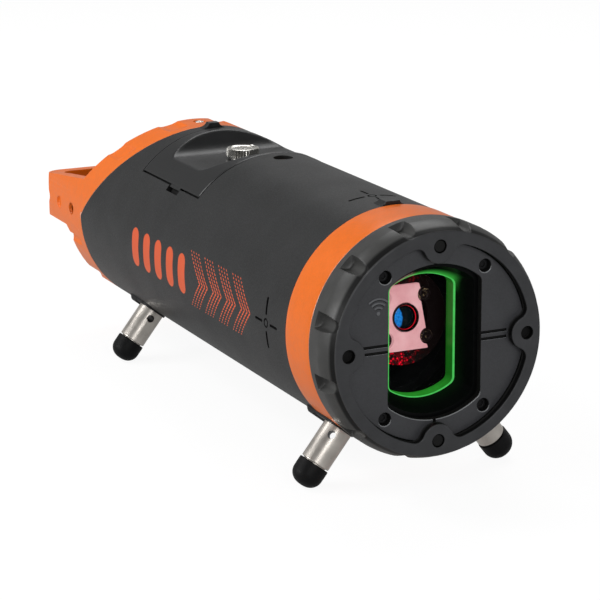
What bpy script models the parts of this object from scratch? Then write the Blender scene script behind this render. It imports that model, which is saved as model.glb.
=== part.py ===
"""Pipe laser: a round, sealed surveying laser that stands on four splayed legs inside a pipe.

Frame: the beam runs along -Y, +Z is up, the feet stand on z = 0 and the origin is the
centre of the footprint. All lengths are in metres.
"""

import math

import bmesh
import bpy
from mathutils import Matrix, Vector

# ---------------------------------------------------------------- driving dimensions
GAP = 0.0003                # clearance between neighbouring parts

BODY_R = 0.0610             # outside of the main tube
BODY_BORE = 0.0576          # inside of the main tube
BODY_FRONT = 0.0510         # station of the tube's front end, measured from the face
BODY_REAR = 0.3500          # station of the tube's rear end, below the axis
SLOPE_TAN = 1.0             # the upper half of the rear end is cut back at 45 degrees

BUMPER_R = 0.0618
BUMPER_FACE_R = 0.0580
BUMPER_BORE = 0.0517
BUMPER_LEN = 0.0224
BAND_R = 0.0613
BAND_BORE = 0.0573
BAND_START = 0.0227
BAND_END = 0.0507

LOBE_PITCH_R = 0.0503       # pins and holes of the bumper's four inner lobes
LOBE_R = 0.0088
PIN_R = 0.0032
FACE_SET = 0.0048           # the face plate lies this far behind the bumper's face
FACE_PLATE_T = 0.0042
SCREW_PITCH_R = 0.0460
SCREW_ANGLE = 52.5          # face screws, degrees above and below the horizontal
SCREW_HOLE_R = 0.0035
PIN_HOLE_DEPTH = 0.0060
PIN_SEAT_DEPTH = 0.0022

WINDOW_R = 0.0402           # the window is a circle cut off by two upright sides
WINDOW_HALF = 0.0263
WINDOW_FILLET = 0.0040
THROAT_R = 0.0324
THROAT_HALF = 0.0190
HOOD_R = 0.0512
HOOD_REAR = 0.0273
RING_R = 0.0370
RING_HALF = 0.0235
RING_BORE_R = 0.0320
RING_BORE_HALF = 0.0186
RING_START = 0.0193
RING_END = 0.0271
GLASS_START = 0.0243
GLASS_END = 0.0268

CAP_BORE = 0.0540
CAP_REAR = 0.3760
HANDLE_REAR = 0.4170
HANDLE_LOW = -0.0120
HANDLE_TOP = 0.0150
HANDLE_ROOT_TOP = 0.0220
HANDLE_BAR_T = 0.0075
CAP_SCREW_Y = 0.3050

NOTCH_STEP = 30.0           # grip notches round both end rings
NOTCH_WIDTH = 0.0118
NOTCH_DEPTH = 0.0026
NOTCH_LEN = 0.0170

PANEL_R = 0.0536
PANEL_Y = 0.3715            # the control panel's plane meets the axis plane here
PANEL_T = 0.0040
KEY_TRAVEL = 0.0010

DOOR_FRONT = 0.1980
DOOR_REAR = 0.2810
DOOR_ANGLE = 49.0
DOOR_SKIN_R = 0.0592
FLOOR_Z = 0.0500            # flat floor of the finger scoop in the door
KNOB_Y = 0.2409
KNOB_R = 0.0094
KNOB_TOP = 0.0570

LEG_ANGLE = 38.0            # degrees from straight down
LEG_FRONT_Y = 0.0372
LEG_REAR_Y = 0.2928
LEG_R = 0.0079
LEG_END = 0.0834            # the metal leg ends here and the foot begins
FOOT_R = 0.0083
FOOT_CENTRE = 0.0895        # where the rubber foot's dome begins, from the beam axis
FOOT_DOME = 0.0070          # height of the dome
FOOT_LOW = 0.0005           # radius of the flat at the tip of the dome
COLLAR_R = 0.0089           # low collar of a boss round the leg
COLLAR_TOP = 0.0622
BOSS_TOP = 0.0632           # the pad of a boss behind the leg
BOSS_REACH_FRONT = 0.0270   # reach of the front bosses behind the leg's axis
BOSS_REACH_REAR = 0.0210
BOSS_STEP_FRONT = 0.0139    # where the raised pad starts, clear of the orange band
BOSS_STEP_REAR = 0.0080
BOSS_RAMP = 0.0070          # length of the slope at the pad's end
BOSS_TOE = 0.0619           # height of the slope's foot
BOSS_ROOT = 0.0540          # the boss is drawn from here and trimmed to the tube's surface
LEG_START = 0.0008          # the leg begins this far above the surface
LEG_CORE = 0.0016           # wall of the leg round the foot's core
LEG_EASE = 0.0005
CORE_REACH = 0.0062         # how far the leg's core reaches into the foot
FOOT_LIP = 0.0004
LEG_HOLE_R = 0.0021
LEG_HOLE_AT = 0.0668

PIVOT_Y = 0.0750            # line and grade axes cross here, under the cross marks
HEAD_TILT = 7.5             # grade the head is set to, degrees
HEAD_FRONT = 0.0390         # the head plate's face lies this far ahead of the pivot
HEAD_HALF_HEIGHT = 0.0170
HEAD_HALF_LOW = 0.0117      # half widths of the tapered head plate
HEAD_HALF_HIGH = 0.0088
BITE_X = 0.0118             # the plate's four screw recesses
BITE_Z = 0.0108
BITE_R = 0.0042
APERTURE_R = 0.0074
LENS_R = 0.0056

LEAN = math.radians(LEG_ANGLE)
AXIS_Z = FOOT_CENTRE * math.cos(LEAN) + math.hypot(FOOT_DOME * math.cos(LEAN),
                                                   FOOT_R * math.sin(LEAN))

SEGMENTS = 72
SMALL = 16


# ---------------------------------------------------------------- scene and materials
def clear_scene():
    """Start from an empty scene."""
    for item in list(bpy.data.objects):
        bpy.data.objects.remove(item, do_unlink=True)


def material(name, colour, roughness, metallic=0.0, alpha=1.0, glow=0.0):
    """A Principled material for one named part."""
    mat = bpy.data.materials.new(name)
    mat.use_nodes = True
    shader = mat.node_tree.nodes["Principled BSDF"]
    shader.inputs["Base Color"].default_value = (*colour, 1.0)
    shader.inputs["Roughness"].default_value = roughness
    shader.inputs["Metallic"].default_value = metallic
    shader.inputs["Alpha"].default_value = alpha
    if glow:
        shader.inputs["Emission Color"].default_value = (*colour, 1.0)
        shader.inputs["Emission Strength"].default_value = glow
    return mat


FINISHES = {
    "paint_black": ((0.030, 0.032, 0.033), 0.52, 0.0),
    "moulded_black": ((0.022, 0.023, 0.025), 0.45, 0.0),
    "rubber_black": ((0.012, 0.012, 0.013), 0.62, 0.0),
    "gloss_black": ((0.006, 0.007, 0.007), 0.15, 0.0),
    "paint_orange": ((0.86, 0.205, 0.035), 0.38, 0.0),
    "nickel": ((0.62, 0.58, 0.53), 0.28, 1.0),
    "dark_steel": ((0.10, 0.10, 0.11), 0.35, 1.0),
    "brass": ((0.72, 0.47, 0.20), 0.30, 1.0),
    "anodised": ((0.05, 0.05, 0.055), 0.38, 0.8),
    "plate_satin": ((0.78, 0.70, 0.68), 0.34, 0.9),
    "circuit": ((0.03, 0.16, 0.07), 0.45, 0.0),
}


def finish(part, key):
    """Give a part its own material in one of the listed finishes."""
    if key == "green_light":
        return material(part, (0.10, 0.85, 0.14), 0.30, glow=2.0)
    if key == "clear_glass":
        return material(part, (0.55, 0.62, 0.60), 0.03, alpha=0.25)
    if key == "lens_blue":
        return material(part, (0.03, 0.20, 0.55), 0.05)
    if key == "screen":
        return material(part, (0.02, 0.05, 0.06), 0.12)
    colour, roughness, metallic = FINISHES[key]
    return material(part, colour, roughness, metallic)


# ---------------------------------------------------------------- building blocks
def frame_at(name, origin, x_axis, y_axis, z_axis, parent=None):
    """An empty whose axes are given in its parent's frame."""
    empty = bpy.data.objects.new(name, None)
    bpy.context.scene.collection.objects.link(empty)
    basis = Matrix((x_axis, y_axis, z_axis)).transposed()
    empty.parent = parent
    empty.location = origin
    empty.rotation_euler = basis.to_euler()
    return empty


def place(name, bm, key, parent, origin=(0.0, 0.0, 0.0), rotation=(0.0, 0.0, 0.0)):
    """Turn a bmesh drawn about its own origin into a named object under a parent."""
    bmesh.ops.recalc_face_normals(bm, faces=bm.faces[:])
    mesh = bpy.data.meshes.new(name)
    bm.to_mesh(mesh)
    bm.free()
    item = bpy.data.objects.new(name, mesh)
    bpy.context.scene.collection.objects.link(item)
    item.parent = parent
    item.location = origin
    item.rotation_euler = rotation
    if key is None:
        item.hide_render = True
        item.display_type = "WIRE"
    else:
        mesh.materials.append(finish(name, key))
        mesh.shade_smooth()
        mesh.set_sharp_from_angle(angle=math.radians(30.0))
    return item


def combine(item, tool, operation="DIFFERENCE"):
    """Cut, join or intersect an object with a hidden tool."""
    step = item.modifiers.new(tool.name, "BOOLEAN")
    step.operation = operation
    step.solver = "EXACT"
    step.object = tool
    return item


def loft(bm, outlines):
    """Close a body through successive outlines that have the same number of points."""
    rings = [[bm.verts.new(p) for p in line] for line in outlines]
    count = len(rings[0])
    for low, high in zip(rings[:-1], rings[1:]):
        for i in range(count):
            j = (i + 1) % count
            bm.faces.new((low[i], low[j], high[j], high[i]))
    bm.faces.new(list(reversed(rings[0])))
    bm.faces.new(rings[-1])


def lathe(bm, profile, segments, axis="Y"):
    """Revolve a closed (radius, station) profile that stays off the axis."""
    rings = []
    for k in range(segments):
        turn = 2.0 * math.pi * (k + 0.5) / segments
        c, s = math.cos(turn), math.sin(turn)
        if axis == "Y":
            rings.append([bm.verts.new((r * c, h, r * s)) for r, h in profile])
        else:
            rings.append([bm.verts.new((r * c, r * s, h)) for r, h in profile])
    count = len(profile)
    for k in range(segments):
        here, after = rings[k], rings[(k + 1) % segments]
        for i in range(count):
            j = (i + 1) % count
            bm.faces.new((here[i], here[j], after[j], after[i]))


def turned(bm, profile, segments, axis="Z"):
    """Revolve an open (radius, station) profile into a solid with flat ends."""
    outlines = []
    for r, h in profile:
        ring = []
        for k in range(segments):
            turn = 2.0 * math.pi * (k + 0.5) / segments
            c, s = r * math.cos(turn), r * math.sin(turn)
            ring.append((c, s, h) if axis == "Z" else (c, h, s))
        outlines.append(ring)
    loft(bm, outlines)


def prism(bm, outline, low, high, axis):
    """Extrude an outline along X, Y or Z. The outline gives the other two coordinates."""
    def point(a, b, h):
        if axis == "X":
            return (h, a, b)
        if axis == "Y":
            return (a, h, b)
        return (a, b, h)
    loft(bm, [[point(a, b, h) for a, b in outline] for h in (low, high)])


def block(bm, low, high, bevel=0.0):
    """A box between two corners, with optional rounded edges."""
    made = bmesh.ops.create_cube(bm, size=1.0)
    centre = (Vector(low) + Vector(high)) / 2.0
    size = Vector(high) - Vector(low)
    bmesh.ops.scale(bm, vec=size, verts=made["verts"])
    bmesh.ops.translate(bm, vec=centre, verts=made["verts"])
    if bevel:
        edges = list({e for v in made["verts"] for e in v.link_edges})
        bmesh.ops.bevel(bm, geom=edges, offset=bevel, segments=2, affect="EDGES", profile=0.5)


def arc(radius, start, end, steps, centre=(0.0, 0.0)):
    """Points along an arc, in degrees, both ends included."""
    points = []
    for k in range(steps + 1):
        turn = math.radians(start + (end - start) * k / steps)
        points.append((centre[0] + radius * math.cos(turn), centre[1] + radius * math.sin(turn)))
    return points


def barrel(radius, half, fillet, steps=14):
    """The window outline: a circle cut off by two upright sides, with rounded corners."""
    cx = half - fillet
    cz = math.sqrt((radius - fillet) ** 2 - cx ** 2)
    lean = math.degrees(math.atan2(cz, cx))
    right = arc(fillet, 0.0, lean, 3, (cx, cz))
    top = arc(radius, lean, 180.0 - lean, steps)[1:-1]
    left = [(-x, z) for x, z in reversed(right)]
    upper = right + top + left
    lower = [(x, -z) for x, z in reversed(upper)]
    return upper + lower


def sector(bm, inner, outer, half_angle, y_low, y_high, centre_angle=90.0, steps=24):
    """A piece of tube wall between two angles and two stations."""
    start, end = centre_angle - half_angle, centre_angle + half_angle
    outline = arc(outer, start, end, steps) + list(reversed(arc(inner, start, end, steps)))
    prism(bm, outline, y_low, y_high, "Y")


def rear_cutter(name, station, parent, reach=0.0600):
    """Removes what lies behind the rear end plane: upright below the axis, 45 degrees above."""
    top = 0.080
    outline = [
        (station, -top),
        (station + reach, -top),
        (station + reach, top),
        (station - top * SLOPE_TAN, top),
        (station, 0.0),
    ]
    bm = bmesh.new()
    prism(bm, outline, -0.090, 0.090, "X")
    return place(name, bm, None, parent)


def notch_cutter(name, parent, angles, radius, end, direction):
    """Grip notches: scoops open at one end of a ring. end(z) gives the ring's edge station."""
    bm = bmesh.new()
    floor = radius - NOTCH_DEPTH
    half = NOTCH_WIDTH / 2.0
    for angle in angles:
        turn = math.radians(angle)
        radial = Vector((math.sin(turn), 0.0, math.cos(turn)))
        side = Vector((math.cos(turn), 0.0, -math.sin(turn)))
        station = end(radius * math.cos(turn))
        outer = radius + 0.004
        profile = [
            (-0.006, floor),
            (NOTCH_LEN - 0.004, floor),
            (NOTCH_LEN, radius + 0.0007),
            (NOTCH_LEN, outer),
            (-0.006, outer),
        ]
        rings = []
        for offset in (-half, half):
            ring = []
            for run, height in profile:
                flare = 1.0 if height <= floor + 1e-6 else 1.28
                point = radial * height + side * offset * flare
                ring.append(point + Vector((0.0, station + direction * run, 0.0)))
            rings.append(ring)
        loft(bm, rings)
    return place(name, bm, None, parent)


# ---------------------------------------------------------------- front end
def build_front(beam):
    """Bumper, orange band, face plate, window tunnel, light ring and glass."""
    bm = bmesh.new()
    lathe(bm, [
        (BUMPER_BORE, 0.0),
        (BUMPER_FACE_R - 0.0008, 0.0),
        (BUMPER_FACE_R, 0.0005),
        (BUMPER_R - 0.0006, 0.0066),
        (BUMPER_R, 0.0080),
        (BUMPER_R, BUMPER_LEN - 0.0006),
        (BUMPER_R - 0.0006, BUMPER_LEN),
        (BUMPER_BORE, BUMPER_LEN),
    ], SEGMENTS)
    bumper = place("front_bumper", bm, "moulded_black", beam)

    bm = bmesh.new()
    for angle in (0.0, 90.0, 180.0, 270.0):
        turn = math.radians(angle)
        out = (math.cos(turn), math.sin(turn))
        side = (-out[1], out[0])
        root = LOBE_R * 1.25
        dome = arc(LOBE_R, 195.0, 345.0, 10, (0.0, LOBE_PITCH_R))
        line = [(-root, 0.0550)] + dome + [(root, 0.0550)]
        outline = [(side[0] * a + out[0] * b, side[1] * a + out[1] * b) for a, b in line]
        prism(bm, outline, 0.0, FACE_SET - GAP, "Y")
    lobes = place("tool_lobes", bm, None, beam)
    combine(bumper, lobes, "UNION")

    bm = bmesh.new()
    for angle in (0.0, 90.0, 180.0, 270.0):
        turn = math.radians(angle)
        made = arc(SCREW_HOLE_R, 0.0, 360.0 - 360.0 / SMALL, SMALL - 1,
                   (LOBE_PITCH_R * math.cos(turn), LOBE_PITCH_R * math.sin(turn)))
        deep = PIN_SEAT_DEPTH if angle in (90.0, 270.0) else PIN_HOLE_DEPTH
        prism(bm, made, -0.002, deep, "Y")
    combine(bumper, place("tool_lobe_holes", bm, None, beam))
    angles = [15.0 + NOTCH_STEP * k for k in range(12)]
    notches = notch_cutter("tool_bumper_notches", beam, angles, BUMPER_R, lambda z: 0.0, 1.0)
    combine(bumper, notches)

    for name, sign in (("bumper_pin_top", 1.0), ("bumper_pin_bottom", -1.0)):
        bm = bmesh.new()
        turned(bm, [(PIN_R - 0.0004, 0.0009), (PIN_R, 0.0013), (PIN_R, 0.0020)], SMALL, "Y")
        place(name, bm, "moulded_black", beam, (0.0, 0.0, sign * LOBE_PITCH_R))

    bm = bmesh.new()
    lathe(bm, [
        (BAND_BORE, BAND_START),
        (BAND_R - 0.0005, BAND_START),
        (BAND_R, BAND_START + 0.0005),
        (BAND_R, BAND_END - 0.0005),
        (BAND_R - 0.0005, BAND_END),
        (BAND_BORE, BAND_END),
    ], SEGMENTS)
    place("orange_band", bm, "paint_orange", beam)

    bm = bmesh.new()
    face_r = BUMPER_BORE - GAP - 0.0001
    turned(bm, [(face_r, FACE_SET), (face_r, FACE_SET + FACE_PLATE_T)], SEGMENTS, "Y")
    plate = place("face_plate", bm, "moulded_black", beam)
    bm = bmesh.new()
    prism(bm, barrel(WINDOW_R, WINDOW_HALF, WINDOW_FILLET), -0.01, 0.02, "Y")
    combine(plate, place("tool_window", bm, None, beam))
    bm = bmesh.new()
    for k in range(4):
        angle = math.radians((SCREW_ANGLE, 180.0 - SCREW_ANGLE, 180.0 + SCREW_ANGLE,
                              -SCREW_ANGLE)[k])
        centre = (SCREW_PITCH_R * math.cos(angle), SCREW_PITCH_R * math.sin(angle))
        hole = arc(SCREW_HOLE_R, 0.0, 360.0 - 360.0 / SMALL, SMALL - 1, centre)
        prism(bm, hole, 0.0, 0.02, "Y")
    combine(plate, place("tool_face_holes", bm, None, beam))
    bm = bmesh.new()
    for sign in (-1.0, 1.0):
        for offset in (-0.0017, 0.0017):
            low = min(sign * 0.0250, sign * 0.0408)
            high = max(sign * 0.0250, sign * 0.0408)
            block(bm, (low, 0.0, offset - 0.0008), (high, FACE_SET + 0.0011, offset + 0.0008))
    combine(plate, place("tool_drains", bm, None, beam))

    for k, name in enumerate(("upper_right", "upper_left", "lower_left", "lower_right")):
        angle = math.radians((SCREW_ANGLE, 180.0 - SCREW_ANGLE, 180.0 + SCREW_ANGLE,
                              -SCREW_ANGLE)[k])
        bm = bmesh.new()
        turned(bm, [(0.0026, 0.0), (0.0030, 0.0004), (0.0030, 0.0018)], 16, "Y")
        screw = place("face_screw_" + name, bm, "dark_steel", beam, (
            SCREW_PITCH_R * math.cos(angle), 0.0068, SCREW_PITCH_R * math.sin(angle)))
        bm = bmesh.new()
        prism(bm, arc(0.0014, 0.0, 300.0, 5), -0.001, 0.0012, "Y")
        socket = place("tool_hex_" + name, bm, None, screw)
        combine(screw, socket)

    bm = bmesh.new()
    start = FACE_SET + FACE_PLATE_T + GAP
    turned(bm, [(HOOD_R, start), (HOOD_R, HOOD_REAR)], SEGMENTS, "Y")
    hood = place("window_hood", bm, "gloss_black", beam)
    bm = bmesh.new()
    grow = (start - FACE_SET) / (RING_START - FACE_SET)
    mouth_r = WINDOW_R + (THROAT_R - WINDOW_R) * grow
    mouth_half = WINDOW_HALF + (THROAT_HALF - WINDOW_HALF) * grow
    slope = (THROAT_R - WINDOW_R) / (RING_START - FACE_SET)
    ahead = 0.004
    wide = barrel(mouth_r - slope * ahead, mouth_half - slope * ahead, WINDOW_FILLET)
    throat = barrel(THROAT_R, THROAT_HALF, WINDOW_FILLET)
    loft(bm, [
        [(x, start - ahead, z) for x, z in wide],
        [(x, RING_START - 0.0001, z) for x, z in throat],
        [(x, RING_START + 0.0010, z) for x, z in throat],
    ])
    combine(hood, place("tool_tunnel", bm, None, beam))
    bm = bmesh.new()
    pocket = barrel(RING_R + GAP, RING_HALF + GAP, WINDOW_FILLET)
    prism(bm, pocket, RING_START - GAP, HOOD_REAR + 0.01, "Y")
    combine(hood, place("tool_ring_pocket", bm, None, beam))

    bm = bmesh.new()
    prism(bm, barrel(RING_R, RING_HALF, WINDOW_FILLET), RING_START, RING_END, "Y")
    ring = place("light_ring", bm, "green_light", beam)
    bm = bmesh.new()
    bore = barrel(RING_BORE_R, RING_BORE_HALF, WINDOW_FILLET)
    prism(bm, bore, RING_START - 0.01, RING_END + 0.01, "Y")
    combine(ring, place("tool_ring_bore", bm, None, beam))

    bm = bmesh.new()
    pane = barrel(RING_BORE_R - GAP, RING_BORE_HALF - GAP, WINDOW_FILLET)
    prism(bm, pane, GLASS_START, GLASS_END, "Y")
    place("window_glass", bm, "clear_glass", beam)

    bm = bmesh.new()
    turned(bm, [(0.0570, HOOD_REAR + GAP), (0.0570, HOOD_REAR + 0.0035)], SEGMENTS // 2, "Y")
    bulkhead = place("front_bulkhead", bm, "gloss_black", beam)
    bm = bmesh.new()
    prism(bm, barrel(0.0330, 0.0200, WINDOW_FILLET), 0.01, 0.06, "Y")
    combine(bulkhead, place("tool_bulkhead_hole", bm, None, beam))


# ---------------------------------------------------------------- main tube
def cross_mark(bm, centre, along, across, out):
    """Engraved cross mark: four arms and a small ring, sunk into the tube wall."""
    centre, along, across, out = (Vector(v) for v in (centre, along, across, out))
    depth = 0.0005
    half = 0.0005
    for direction, other in ((along, across), (across, along)):
        for sign in (-1.0, 1.0):
            outline = []
            for a, b in ((0.0052, -half), (0.0130, -half), (0.0130, half), (0.0052, half)):
                outline.append(centre + direction * sign * a + other * b)
            loft(bm, [[p - out * (depth + 0.0014) for p in outline],
                      [p + out * 0.003 for p in outline]])


def build_tube(beam):
    """The painted main tube with its door opening, cross marks and top thread."""
    bm = bmesh.new()
    lathe(bm, [
        (BODY_BORE, BODY_FRONT),
        (BODY_R - 0.0004, BODY_FRONT),
        (BODY_R, BODY_FRONT + 0.0004),
        (BODY_R, BODY_REAR + 0.004),
        (BODY_BORE, BODY_REAR + 0.004),
    ], SEGMENTS)
    tube = place("main_tube", bm, "paint_black", beam)
    combine(tube, rear_cutter("tool_tube_rear", BODY_REAR, beam))

    bm = bmesh.new()
    sector(bm, DOOR_SKIN_R - GAP, 0.070, DOOR_ANGLE + 0.35, DOOR_FRONT - GAP, DOOR_REAR + GAP)
    combine(tube, place("tool_door_rebate", bm, None, beam))
    bm = bmesh.new()
    block(bm, (-0.0360, 0.2045, 0.0400), (0.0360, 0.2775, 0.0700))
    combine(tube, place("tool_door_hole", bm, None, beam))
    bm = bmesh.new()
    for centre in (90.0 + DOOR_ANGLE + 1.8, 90.0 - DOOR_ANGLE - 1.8):
        sector(bm, DOOR_SKIN_R - 0.0012, 0.070, 2.6, 0.2235, 0.2395, centre, 4)
    combine(tube, place("tool_tab_slots", bm, None, beam))

    bm = bmesh.new()
    prism(bm, arc(0.0056, 0.0, 345.0, 23, (0.0, 0.1850)), 0.0500, 0.0700, "Z")
    combine(tube, place("tool_top_hole", bm, None, beam))
    bm = bmesh.new()
    cross_mark(bm, (0.0, PIVOT_Y, BODY_R), (0, 1, 0), (1, 0, 0), (0, 0, 1))
    cross_mark(bm, (-BODY_R, PIVOT_Y, 0.0), (0, 1, 0), (0, 0, 1), (-1, 0, 0))
    cross_mark(bm, (BODY_R, PIVOT_Y, 0.0), (0, 1, 0), (0, 0, 1), (1, 0, 0))
    combine(tube, place("tool_cross_marks", bm, None, beam))

    bm = bmesh.new()
    lathe(bm, [
        (0.0030, 0.0570),
        (0.0047, 0.0570),
        (0.0053, 0.0576),
        (0.0053, 0.0592),
        (0.0036, 0.0592),
        (0.0030, 0.0586),
    ], SMALL, "Z")
    place("top_insert", bm, "brass", beam, (0.0, 0.1850, 0.0))

    def sight(name, y_low, y_high, half, top_share, height):
        low = BODY_R - 0.0002
        base = [(-half, y_low), (half, y_low), (half, y_high), (-half, y_high)]
        body = bmesh.new()
        loft(body, [
            [(x, y, low - 0.003) for x, y in base],
            [(x, y, low + 0.0005) for x, y in base],
            [(x * top_share, y_low + 0.0004 + (y - y_low) * 0.80, low + height) for x, y in base],
        ])
        item = place(name, body, "moulded_black", beam)
        tool = bmesh.new()
        turned(tool, [(BODY_R + GAP, y_low - 0.01), (BODY_R + GAP, y_high + 0.01)], SEGMENTS, "Y")
        return combine(item, place("tool_" + name, tool, None, beam))

    sight("front_sight", 0.0516, 0.0620, 0.0088, 0.55, 0.0026)
    sight("rear_sight", 0.2826, 0.2886, 0.0072, 0.47, 0.0028)


# ---------------------------------------------------------------- rear end
def build_rear(beam):
    """Rear cap with its cast handle, the control panel, keys and charging socket."""
    bm = bmesh.new()
    turned(bm, [(BODY_R, 0.270), (BODY_R, HANDLE_REAR - 0.0001)], SEGMENTS, "Y")
    cap = place("rear_cap", bm, "paint_orange", beam)

    bm = bmesh.new()
    front = BODY_REAR + GAP
    prism(bm, [(0.260, -0.080), (front, -0.080), (front, 0.0), (front - 0.080, 0.080),
               (0.260, 0.080)], -0.09, 0.09, "X")
    combine(cap, place("tool_cap_front", bm, None, beam))
    bm = bmesh.new()
    turned(bm, [(CAP_BORE, 0.250), (CAP_BORE, 0.450)], SEGMENTS, "Y")
    combine(cap, place("tool_cap_bore", bm, None, beam))
    bm = bmesh.new()
    root = CAP_REAR - HANDLE_ROOT_TOP
    prism(bm, [(root, HANDLE_ROOT_TOP), (HANDLE_REAR - 0.006, HANDLE_TOP),
               (0.450, HANDLE_TOP), (0.450, 0.090), (CAP_REAR - 0.090, 0.090)],
          -0.09, 0.09, "X")
    combine(cap, place("tool_cap_above", bm, None, beam))
    bm = bmesh.new()
    prism(bm, [(CAP_REAR, HANDLE_LOW - 0.004), (CAP_REAR + 0.004, HANDLE_LOW),
               (0.450, HANDLE_LOW), (0.450, -0.090), (CAP_REAR, -0.090)], -0.09, 0.09, "X")
    combine(cap, place("tool_cap_below", bm, None, beam))

    bm = bmesh.new()
    inner = HANDLE_REAR - HANDLE_BAR_T
    fillet = 0.0080
    right = arc(fillet, 0.0, 90.0, 4, (CAP_BORE - 0.0018 - fillet, inner - fillet))
    left = [(-x, y) for x, y in reversed(right)]
    outline = [(0.0570, inner - fillet)] + right + left + [
        (-0.0570, inner - fillet), (-0.0570, HANDLE_REAR - 0.0040), (-0.0530, HANDLE_REAR),
        (0.0530, HANDLE_REAR), (0.0570, HANDLE_REAR - 0.0040)]
    prism(bm, outline, HANDLE_LOW, HANDLE_TOP, "Z")
    combine(cap, place("tool_handle_bar", bm, None, beam), "UNION")

    bm = bmesh.new()
    radius = 0.0110
    for sign in (-1.0, 1.0):
        centre = (BODY_R - radius, HANDLE_REAR - radius)
        curve = arc(radius, 0.0, 90.0, 6, centre)
        outline = [(sign * x, y) for x, y in curve]
        outline += [(sign * (BODY_R - radius), 0.430), (sign * 0.075, 0.430),
                    (sign * 0.075, HANDLE_REAR - radius)]
        prism(bm, outline, -0.03, 0.03, "Z")
    combine(cap, place("tool_handle_corners", bm, None, beam))

    bm = bmesh.new()
    for sign in (-1.0, 1.0):
        for y in (0.3672, 0.3889):
            hole = arc(0.0036, 17.0, 347.0, 11, (y, 0.0007))
            wide = sorted((sign * (BODY_R - 0.0013), sign * (BODY_R + 0.005)))
            prism(bm, hole, wide[0], wide[1], "X")
    combine(cap, place("tool_dimples", bm, None, beam))
    bm = bmesh.new()
    prism(bm, arc(0.0036, 7.0, 345.0, 15, (0.0, CAP_SCREW_Y)), 0.0575, 0.0700, "Z")
    combine(cap, place("tool_cap_screw_hole", bm, None, beam))
    angles = [15.0, 45.0, 105.0, 135.0, 165.0]
    angles += [-a for a in angles]
    notches = notch_cutter("tool_cap_notches", beam, angles, BODY_R,
                           lambda z: CAP_REAR - max(z, 0.0), -1.0)
    combine(cap, notches)

    bm = bmesh.new()
    turned(bm, [(0.0026, 0.0578), (0.0026, 0.0600), (0.0020, 0.0606)], 16)
    place("cap_screw", bm, "nickel", beam, (0.0, CAP_SCREW_Y, 0.0))

    lean = math.sqrt(0.5)
    panel = frame_at("panel_frame", (0.0, PANEL_Y, 0.0), (-1.0, 0.0, 0.0),
                     (0.0, -lean, lean), (0.0, lean, lean), beam)
    bm = bmesh.new()
    stretch = math.sqrt(2.0)
    outline = [(x, max(y * stretch, 0.0010)) for x, y in arc(PANEL_R, 1.0, 179.0, 40)]
    prism(bm, outline, -PANEL_T, 0.0, "Z")
    bezel = place("control_panel", bm, "moulded_black", panel)
    bm = bmesh.new()
    block(bm, (-0.0302, 0.0288, -0.0016), (0.0302, 0.0582, 0.004))
    combine(bezel, place("tool_display", bm, None, panel))
    bm = bmesh.new()
    block(bm, (-0.0299, 0.0291, -0.0013), (0.0299, 0.0579, -0.0002), 0.0)
    place("display_window", bm, "screen", panel)

    keys = (
        ("key_power", -0.0230, 0.0205), ("key_grade", 0.0, 0.0205), ("key_line", 0.0230, 0.0205),
        ("key_minus", -0.0230, 0.0088), ("key_enter", 0.0, 0.0088), ("key_plus", 0.0230, 0.0088),
    )
    bm = bmesh.new()
    for _, x, y in keys:
        block(bm, (x - 0.0088, y - 0.0045, -0.010), (x + 0.0088, y + 0.0045, 0.004))
    combine(bezel, place("tool_keys", bm, None, panel))
    for name, x, y in keys:
        bm = bmesh.new()
        block(bm, (-0.0084, -0.0041, -0.0022), (0.0084, 0.0041, 0.0016), 0.0007)
        place(name, bm, "rubber_black", panel, (x, y, 0.0))

    bm = bmesh.new()
    edge = math.degrees(math.asin(0.0032 / PANEL_R))
    prism(bm, arc(PANEL_R, -edge, -180.0 + edge, 40), 0.3660, 0.3705, "Y")
    plate = place("rear_plate", bm, "moulded_black", beam)
    bm = bmesh.new()
    turned(bm, [(0.0090, 0.350), (0.0090, 0.380)], SMALL, "Y")
    tool = place("tool_socket_hole", bm, None, beam, (0.0, 0.0, -0.0320))
    combine(plate, tool)
    bm = bmesh.new()
    turned(bm, [(0.0087, 0.3610), (0.0087, 0.3700)], SMALL, "Y")
    socket = place("charge_socket", bm, "nickel", beam, (0.0, 0.0, -0.0320))
    bm = bmesh.new()
    turned(bm, [(0.0060, 0.3630), (0.0060, 0.380)], SMALL, "Y")
    combine(socket, place("tool_socket_bore", bm, None, beam, (0.0, 0.0, -0.0320)))
    bm = bmesh.new()
    outline = arc(0.0110, 180.0, 360.0, 16, (0.0, -0.0120))
    outline += [(0.0110, 0.0), (-0.0110, 0.0)]
    loft(bm, [
        [(x, 0.0, z) for x, z in outline],
        [(x, 0.0022, z) for x, z in outline],
        [(x * 0.9, 0.0030, -0.0110 + (z + 0.0110) * 0.9) for x, z in outline],
    ])
    place("socket_flap", bm, "rubber_black", beam, (0.0, 0.3708, -0.0200))


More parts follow.
